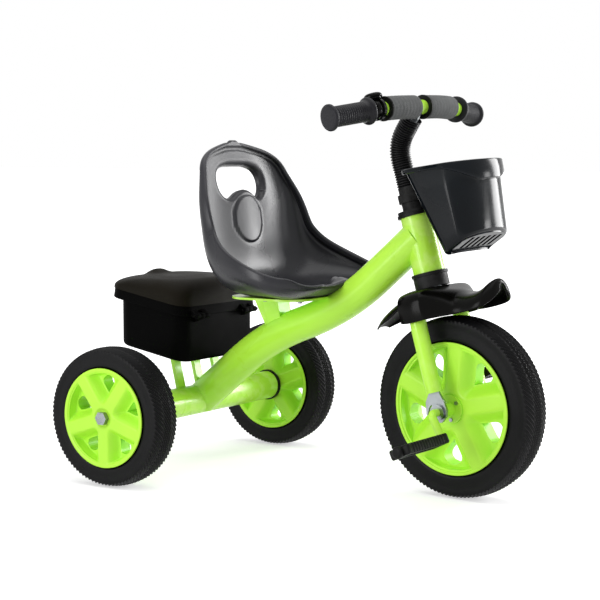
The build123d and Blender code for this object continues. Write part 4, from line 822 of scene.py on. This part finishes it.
def tilted(flat, rear, slope):
    """(forward, side) points put into the plane that starts at the rear edge and climbs forward by the slope."""
    x = rear[0] + flat[..., 0] * cos(radians(slope))
    z = rear[1] + flat[..., 0] * sin(radians(slope))
    return np.stack([x, flat[..., 1], z], axis=-1)


def outward_of(ring):
    """The level direction out of a closed ring, from the chord between each point's two neighbours."""
    chord = np.roll(ring, -1, axis=0) - np.roll(ring, 1, axis=0)
    out = np.stack([chord[:, 1], -chord[:, 0], 0 * chord[:, 0]], axis=-1)
    out /= np.linalg.norm(out, axis=1, keepdims=True)
    middle = ring.mean(axis=0)
    return out * np.sign(((ring - middle) * out).sum(axis=1).mean())


plan = d_outline(RIM["half"], RIM["straight"], RIM["reach"])
rim_ring = tilted(plan, RIM["rear"], RIM["slope"])
floor_ring = tilted(d_outline(FLOOR["half"], FLOOR["straight"], FLOOR["reach"], ear=3.0), FLOOR["rear"], FLOOR["slope"])
out_way = outward_of(rim_ring)
half_way = len(plan) // 2 + 1
length_on = np.concatenate(([0], np.cumsum(np.linalg.norm(np.diff(plan[:half_way], axis=0), axis=1))))
length_on = np.concatenate((length_on, length_on[-2:0:-1]))
skirt_depth = 6.0 + 26.0 * ease(length_on, 112.0, 180.0)


def wall_level(share, offset, lift=0.0):
    """Floor to rim by a share, which may differ round the ring, moved out by the offset and up by the lift."""
    share = np.broadcast_to(share, len(plan))[:, None]
    return floor_ring * (1 - share) + rim_ring * share + out_way * np.reshape(offset, (-1, 1)) + (0, 0, lift)


hem = 1 - skirt_depth / 118.0
profile = [(0.0, -9.0, -0.2), (0.0, -6.5, -0.1), (0.0, -4.0, 0.3), (0.0, -2.0, 1.3), (0.0, -0.7, 3.0), (0.0, 0.0, 5.6)]
profile += [(s, 0.0, 5.6 * (1 - s)) for s in (0.12, 0.25, 0.4, 0.55, 0.7)]
profile += [(hem - 0.012, 0.0, 0.0), (hem + 0.002, 0.3, 0.0), (hem - 0.004, 2.0, 0.0), (hem - 0.010, 4.0, 0.0),
            (hem - 0.004, 5.2, 0.0), (hem + 0.01, 5.7, 0.0), (hem * 0.5 + 0.49, 5.2, 0.0), (0.975, 4.9, 0.0),
            (0.99, 4.1, 0.0),
            (0.998, 2.5, 0.0), (1.0, 1.0, 0.1), (1.0, -0.9, 0.1), (0.995, -2.0, 0.0), (0.98, -2.5, 0.0)]
profile += [(s, -2.5, 0.0) for s in (0.8, 0.55, 0.3, 0.12)]
profile += [(0.05, -3.2, 0.0), (0.0, -5.5, 2.9), (0.0, -9.0, 2.4)]
basket_wall = np.stack([wall_level(*level) for level in profile])

SLOT_LONG, SLOT_WIDE, SLOT_PITCH, SLOT_MIDDLE = 27.0, 7.2, 13.0, 28.0
slot_sides = (np.arange(6) - 2.5) * SLOT_PITCH
edge = 50.0
slot_edges = (slot_sides - SLOT_WIDE / 2, slot_sides + SLOT_WIDE / 2, (-46, -42, 42, 46), (-edge, edge))
lines = np.sort(np.concatenate(slot_edges))
share = np.sqrt(np.clip(1 - (lines / (edge + 0.2)) ** 2, 0, 1))
nearest, furthest = 14.0 - 9.5 * share**0.5, 31.0 + 19.0 * share
steps = np.array((0.0, SLOT_MIDDLE - SLOT_LONG / 2, SLOT_MIDDLE + SLOT_LONG / 2, 99.0))[:, None]
forward = np.clip(steps, nearest[None, :], furthest[None, :])
flat = np.stack([forward, np.broadcast_to(lines, forward.shape)], axis=-1)
under, upper = tilted(flat, FLOOR["rear"], FLOOR["slope"]), tilted(flat, FLOOR["rear"], FLOOR["slope"]) + (0, 0, 2.5)
open_cell = np.zeros((3, len(lines) - 1), bool)
for side in slot_sides:
    open_cell[1, int(np.searchsorted(lines, side)) - 1] = True
basket_grids = [(basket_wall, True, True), (under, False, False, ~open_cell), (upper, False, False, ~open_cell)]
border = [np.concatenate((g[0], g[1:, -1], g[-1, -2::-1], g[-2:0:-1, 0])) for g in (under, upper)]
basket_grids.append((np.stack(border), False, True))
for column in np.flatnonzero(open_cell[1]):
    loops = [np.stack((g[1, column], g[1, column + 1], g[2, column + 1], g[2, column])) for g in (under, upper)]
    basket_grids.append((np.stack(loops), False, True))
fasten(skin("front_basket", basket_grids, in_fork, 35.0), "steering", basket_plastic, ("basket",))

# %% [markdown]
# The fender is one glossy shell. A narrow blade ends in a point behind, a square cover sits over the
# top of the fork, and in front the blade dips and turns up into a spoon. Each section is half of a
# superellipse, whose width, top and edge height change from station to station.

# %% The fender
BLADE = np.array(((-100, 134, 14, 130), (-85, 144, 24, 134), (-60, 156, 30, 141), (-30, 163.5, 33, 148),
    (-21, 165, 37, 142)), float)
COVER = np.array(((-18, 166.0, 65.4, 127), (-8, 167.4, 67, 125.6), (8, 167.4, 67, 125.2), (20, 166.3, 65, 125.4)),
    float)
SPOON = np.array(((20, 166.3, 65, 125.4), (34, 160, 49, 125), (50, 153.5, 39, 124), (72, 149.5, 36.5, 123.5),
                  (92, 153, 34, 125),
                  (101, 157.5, 28, 128), (107.5, 156.5, 19.5, 133), (111, 150, 8, 140)), float)


def stations(table, count):
    """A natural spline through the stations, at equal steps of their side view."""
    return spline_at(chords(table[:, :2]), table, np.linspace(0, 1, count))


run = np.concatenate((stations(BLADE, 34), stations(COVER, 12), stations(SPOON, 60)[1:]))
run_x, top, half_wide, low = run.T[:, :, None]
squareness = 2.0 + 3.2 * ease(run_x, -20.5, -18.5) * ease(-run_x, -52.0, -18.0)
swing = np.linspace(-pi / 2, pi / 2, 61)[None, :]
across = half_wide * np.sign(np.sin(swing)) * np.abs(np.sin(swing)) ** (2 / squareness)
height = low + (top - low) * np.abs(np.cos(swing)) ** (2 / squareness)
hollow = 3.2 * ease(run_x, 40.0, 70.0) * ease(-run_x, -112.0, -96.0) * np.cos(swing) ** 6
fender_top = np.stack([np.broadcast_to(run_x, across.shape), across, height - hollow], axis=-1)


def lowered(sheet, thick):
    """The sheet moved along its own normal, the cross product of its steps both ways, to give it a wall."""
    along, over = np.gradient(sheet, axis=0), np.gradient(sheet, axis=1)
    normal = np.cross(along, over)
    normal /= np.maximum(np.linalg.norm(normal, axis=-1, keepdims=True), 1e-9)
    return sheet - normal * thick


fender_low = lowered(fender_top, 2.4)
fender_grids = [(fender_top, False, False), (fender_low, False, False)]
fender_grids.append((rim_strip(outline_of(fender_top), outline_of(fender_low), outward_from(fender_top)), False, True))
fasten(skin("fender_shell", fender_grids, in_fork, 42.0), "steering", glossy_black, ("fender",))

# %% [markdown]
# The stem is hidden in a black ribbed hose, the bar carries two foam sleeves, and a rubber grip ends
# each side. All of them are circles carried along the bent line of the tube that they sit on, with a
# radius that changes along the way: rings for the hose, soft ends for the foam, flanges for the grips.

# %% The stem's ribbed sleeve
BAR_X, BAR_Z = 45.0, 410.0
lean = np.array((sin(radians(50.0)), 0.0, cos(radians(50.0))))
bar_middle = np.array((BAR_X, 0.0, BAR_Z))
stem_corner = bar_middle - lean * (BAR_X + 3.0) / lean[0]
stem_line = resample(rounded(((-3.0, 0.0, 309.4), stem_corner, bar_middle - lean * 17.4), 32.0, 24), 321)
stem_length = np.linalg.norm(np.diff(stem_line, axis=0), axis=1).sum()
along = np.linspace(0, 1, len(stem_line))
rings = round(stem_length / 3.4)
hose = 14.3 - 1.9 * (0.5 - 0.5 * np.cos(2 * pi * rings * along)) ** 1.4
sleeve = carried(stem_line, circle(1.0, 48), hose)
sleeve = np.concatenate((pole(sleeve[0])[None], sleeve, pole(sleeve[-1])[None]))
hose_skin = skin("stem_hose", [(sleeve, False, True)], in_fork, smooth=50.0)
fasten(hose_skin, "steering", hose_plastic, ("stem_sleeve",))

# %% The foam sleeves on the bar
BAR_STRAIGHT, BAR_BEND, BAR_SWEEP, BAR_DROP = 32.5, 271.0, radians(15.0), radians(12.0)


def bar_line(reach):
    """The bar's middle at a reach from its centre: straight, then an arc backwards, then straight again."""
    reach = np.asarray(reach, float)
    side, far = np.sign(reach), np.abs(reach)
    bent = np.clip((far - BAR_STRAIGHT) / BAR_BEND, 0, BAR_SWEEP)
    rest = np.clip(far - BAR_STRAIGHT - BAR_BEND * BAR_SWEEP, 0, None)
    y = np.minimum(far, BAR_STRAIGHT) + BAR_BEND * np.sin(bent) + rest * cos(BAR_SWEEP)
    back = BAR_BEND * (1 - np.cos(bent)) + rest * sin(BAR_SWEEP)
    return np.stack([BAR_X - back * cos(BAR_DROP), side * y, BAR_Z - back * sin(BAR_DROP)], axis=-1)


def reach_at(y):
    """The reach at which the bar's middle passes a value of y."""
    table = np.linspace(-220, 220, 4401)
    return float(np.interp(y, bar_line(table)[:, 1], table))


def on_bar(profile, count=48):
    """A profile of (reach, radius) carried along the bar and closed at both ends."""
    reach, radius = np.asarray(profile, float).T
    line = bar_line(reach)
    tangent = bar_line(reach + 0.05) - bar_line(reach - 0.05)
    tangent /= np.linalg.norm(tangent, axis=1, keepdims=True)
    first = np.cross((0.0, 0.0, 1.0), tangent)
    first /= np.linalg.norm(first, axis=1, keepdims=True)
    second = np.cross(tangent, first)
    ring = circle(1.0, count)
    around = ring[None, :, :1] * first[:, None] + ring[None, :, 1:] * second[:, None]
    loops = line[:, None] + radius[:, None, None] * around
    return (np.concatenate((pole(loops[0])[None], loops, pole(loops[-1])[None])), False, True)


soft = np.linspace(0, pi / 2, 9)
for side, (start, end) in (("right", (-73.0, -9.0)), ("left", (12.0, 79.0))):
    a, b = reach_at(start), reach_at(end)
    middle = np.linspace(a + 3.0, b - 3.0, 60)
    body = 16.3 - 0.25 * (0.5 + 0.5 * np.sin(middle * 0.9)) - 0.2 * np.exp(-((middle - (a + b) / 2) / 22) ** 2)
    foam = np.concatenate((
        np.stack([a + 3.0 - 3.0 * np.cos(soft), 12.6 + 3.6 * np.sin(soft)], axis=-1)[:-1],
        np.stack([middle, body], axis=-1),
        np.stack([b - 3.0 + 3.0 * np.sin(soft), 12.6 + 3.6 * np.cos(soft)], axis=-1)[1:],
    ))
    foam_skin = skin(f"bar_foam_{side}", [on_bar(foam)], in_fork, smooth=60.0)
    fasten(foam_skin, "steering", bar_foam, (f"foam_sleeve_{side}",))

# %% The rubber grips
GRIP_START, GRIP_LONGER = 103.6, 4.2
grip_reach = reach_at(GRIP_START)
knobs = np.linspace(8.0, 57.0, 141)
ribbed = 13.9 - 0.75 * (0.5 - 0.5 * np.cos(2 * pi * (knobs - 8.0) / 3.5)) ** 2
GRIP_FLANGE = ((0.0, 10.6), (0.0, 16.6), (0.5, 17.8), (1.6, 18.5), (3.4, 18.5), (4.8, 17.9), (6.0, 16.0))
grip = [(d - GRIP_LONGER, r) for d, r in GRIP_FLANGE]
grip += [(3.6, 14.6), (5.6, 14.1)]
grip += list(zip(knobs, ribbed))
grip += [(58.2, 14.3), (59.4, 15.9), (60.2, 17.2), (61.2, 17.8), (63.4, 17.8),
         (64.6, 17.1), (65.3, 15.6), (65.6, 13.0), (65.6, 6.0)]
for side, sign in SIDES:
    shape = [(sign * (grip_reach + d), r) for d, r in grip]
    grip_skin = skin(f"bar_grip_{side}", [on_bar(shape)], in_fork, smooth=40.0)
    fasten(grip_skin, "steering", grip_rubber, (f"grip_{side}",))

# %% [markdown]
# The pedals are open cages: a barrel on the crank's pin, a ribbed tread bar in front and behind, and a
# plate at each end. A round cap closes each pin. The bell's clamp is a wide ring on the bar.

# %% The pedals
PIN_X, PIN_Z, PEDAL_START, PEDAL_LONG, PEDAL_TILT = 9.193, 36.871, 77.5, 90.0, radians(10.0)
ribs = np.linspace(0, 1, 181)
tread_swell = 1.0 - 0.10 * (0.5 - 0.5 * np.cos(2 * pi * 15 * ribs)) ** 3


def squarish(half_wide, half_high, power=5.0, count=40):
    """A superellipse: a rectangle with soft corners."""
    turn = np.linspace(0, 2 * pi, count, endpoint=False)
    c, s = np.cos(turn), np.sin(turn)
    wide = half_wide * np.sign(c) * np.abs(c) ** (2 / power)
    high = half_high * np.sign(s) * np.abs(s) ** (2 / power)
    return np.stack([wide, high], axis=-1)


def bar_block(section, y, size, pin, offset=0.0):
    """A section in the pedal's tilted (forward, up) plane, carried along the pin's direction with a changing size."""
    forward, up = section[:, 0][None] * size[:, None] + offset, section[:, 1][None] * size[:, None]
    x = pin[0] + forward * cos(PEDAL_TILT) - up * sin(PEDAL_TILT)
    z = pin[1] + forward * sin(PEDAL_TILT) + up * cos(PEDAL_TILT)
    block = np.stack([x, np.broadcast_to(y[:, None], x.shape), z], axis=-1)
    return (np.concatenate((pole(block[0])[None], block, pole(block[-1])[None])), False, True)


plate_y = np.array((0.0, 0.6, 1.4, 6.6, 7.4, 8.0))
plate_size = np.array((0.9, 0.97, 1.0, 1.0, 0.97, 0.9))
for side, sign in SIDES:
    pin = (-sign * PIN_X, sign * PIN_Z)
    y = sign * (PEDAL_START + 1.5 + ribs * (PEDAL_LONG - 3.0))
    cage = [bar_block(squarish(4.8, 6.9), y, tread_swell, pin, offset) for offset in (-11.4, 11.4)]
    cage.append(bar_block(squarish(6.3, 6.1, 2.2), y, np.ones(len(y)), pin))
    for start in (0.0, PEDAL_LONG - 8.0):
        cage.append(bar_block(squarish(16.4, 6.9, 7.0), sign * (PEDAL_START + start + plate_y), plate_size, pin))
    cage_skin = skin(f"pedal_cage_{side}", cage, in_fork, smooth=40.0)
    fasten(cage_skin, f"pedal_{side}", black_moulding, (f"pedal_{side}",))

caps = []
for sign in (-1, 1):
    start = sign * (PEDAL_START + PEDAL_LONG)
    dome = [
        (start + sign * d, r)
        for d, r in ((0.4, 0.01), (0.4, 7.4), (0.8, 8.0), (4.6, 8.0), (5.8, 7.4), (6.5, 6.0), (6.9, 3.5), (7.0, 0.01))
    ]
    caps.append((turned_y(dome, 40, (-sign * PIN_X, 0.0, sign * PIN_Z)), True, False))
fasten(skin("pedal_end_caps", caps, in_fork, 40.0), "front_wheel", black_moulding, ("pedal_caps",))

# %% The bell's clamp
clamp_at = -reach_at(92.0)
CLAMP = ((-3.6, 10.2), (-3.6, 12.9), (-3.1, 13.7), (-2.2, 14.0), (2.2, 14.0), (3.1, 13.7), (3.6, 12.9), (3.6, 10.2))
clamp = [(clamp_at + d, r) for d, r in CLAMP]
fasten(skin("bell_clamp_ring", [on_bar(clamp)], in_fork, 40.0), "steering", glossy_black)

# %% [markdown]
# The rest of the solid model's pieces are right as they are, and only need their finish. Small
# fasteners are zinc, the bushes and caps are black plastic.

# %% Finish the solid pieces that stay
BY_SLOT = {
    "lime_paint": lime_coat, "lime_plastic": lime_plastic, "black_plastic": black_moulding,
    "black_gloss": glossy_black, "seat_grey": seat_plastic, "basket_blue_black": basket_plastic,
    "tyre_foam": tyre_foam, "foam_grey": bar_foam, "grip_rubber": grip_rubber, "zinc": zinc, "nylon": black_moulding,
}
for part in frame["record"]["subparts"]:
    shown = cad[part["node"]]
    shown.data.materials.clear()
    hidden_pin = part["node"] == "lid_hinge_pins"
    shown.data.materials.append(tub_plastic if hidden_pin else BY_SLOT[part["material_slot"]])

# %% [markdown]
# The tricycle stands on a plain white floor under soft studio light. The floor and the world show as
# white to the camera and to reflections, and the floor keeps the tricycle's soft shadow.


# %% Floor and world
def seen_rays(tree):
    """1 for rays from the camera, from a reflection or through a clear surface."""
    path = tree.nodes.new("ShaderNodeLightPath")
    seen = times(tree, path.outputs["Is Camera Ray"], path.outputs["Is Glossy Ray"], "ADD")
    return times(tree, seen, path.outputs["Is Transmission Ray"], "ADD")


def white_where_seen(tree, shader, output, strength):
    """Adds a white glow for rays from the camera, and for reflections, to a shader."""
    seen = seen_rays(tree)
    glow = tree.nodes.new("ShaderNodeEmission")
    tree.links.new(times(tree, seen, strength), glow.inputs["Strength"])
    both = tree.nodes.new("ShaderNodeAddShader")
    tree.links.new(shader, both.inputs[0])
    tree.links.new(glow.outputs[0], both.inputs[1])
    tree.links.new(both.outputs[0], output)


floor_sheet = np.array([[(-30, -30, 0), (30, -30, 0)], [(-30, 30, 0), (30, 30, 0)]], float)
floor = skin("studio_floor", [(floor_sheet, False, False)], lambda p: p)
floor_material = bpy.data.materials.new("plain pale floor")
floor_material.use_nodes = True
floor_tree = floor_material.node_tree
floor_shader = floor_tree.nodes["Principled BSDF"]
floor_shader.inputs["Base Color"].default_value = (0.8, 0.8, 0.8, 1.0)
floor_shader.inputs["Roughness"].default_value = 0.9
floor_shader.inputs["Specular IOR Level"].default_value = 0.1
# The glow is low near the tricycle, so that its shadow shows, and full further out, where the lamps fall off.
away = floor_tree.nodes.new("ShaderNodeVectorMath")
away.operation = "LENGTH"
floor_tree.links.new(floor_tree.nodes.new("ShaderNodeTexCoord").outputs["Object"], away.inputs[0])
floor_glow = mapped(floor_tree, away.outputs["Value"], 0.5, 2.2, 0.5, 1.0)
white_where_seen(floor_tree, floor_shader.outputs[0], floor_tree.nodes["Material Output"].inputs["Surface"], floor_glow)
floor.data.materials.append(floor_material)

world = bpy.data.worlds.new("studio")
world.use_nodes = True
bpy.context.scene.world = world
world_tree = world.node_tree
for node in list(world_tree.nodes):
    world_tree.nodes.remove(node)
sky = world_tree.nodes.new("ShaderNodeBackground")
sky.inputs["Color"].default_value = (1.0, 1.0, 1.0, 1.0)
sky_output = world_tree.nodes.new("ShaderNodeOutputWorld")
plain_level = 0.5
seen_level = times(world_tree, seen_rays(world_tree), 1.0 - plain_level)
world_tree.links.new(times(world_tree, seen_level, plain_level, "ADD"), sky.inputs["Strength"])
world_tree.links.new(sky.outputs[0], sky_output.inputs["Surface"])


# %% Lamps
def softbox(name, place, target, size, power):
    """A square area lamp at a place, pointed at a target."""
    lamp = bpy.data.lights.new(name, "AREA")
    lamp.shape, lamp.size, lamp.size_y, lamp.energy = "RECTANGLE", size[0], size[1], power
    box = bpy.data.objects.new(name, lamp)
    bpy.context.scene.collection.objects.link(box)
    box.location = place
    box.visible_camera = False
    box.rotation_euler = (Vector(target) - Vector(place)).to_track_quat("-Z", "Y").to_euler()
    return box


centre = (0.0, 0.0, 0.25)
softbox("softbox above", (0.1, -0.2, 2.2), centre, (2.2, 2.2), 28.0)
softbox("softbox beside", (-0.75, -2.3, 0.62), centre, (0.9, 1.15), 24.0)
softbox("softbox across", (1.3, 2.3, 0.9), centre, (0.9, 1.5), 60.0)
softbox("softbox right", (2.5, 1.9, 0.35), centre, (0.5, 0.6), 12.0)

# %% [markdown]
# The camera stands to the front right of the tricycle at about seat height, far enough away for a long
# lens, as in a catalogue picture.

# %% Camera
TURN, DROP = radians(33.858), radians(5.208)
camera = bpy.data.objects.new("camera", bpy.data.cameras.new("camera"))
bpy.context.scene.collection.objects.link(camera)
camera.location = (1.263989, -1.966293, 0.473254)
camera.rotation_euler = (pi / 2 - DROP, 0.0, TURN)
camera.data.lens = 98.562
camera.data.sensor_width = 36.0
camera.data.clip_end = 100.0
bpy.context.scene.camera = camera
bpy.context.scene.view_settings.view_transform = "Standard"
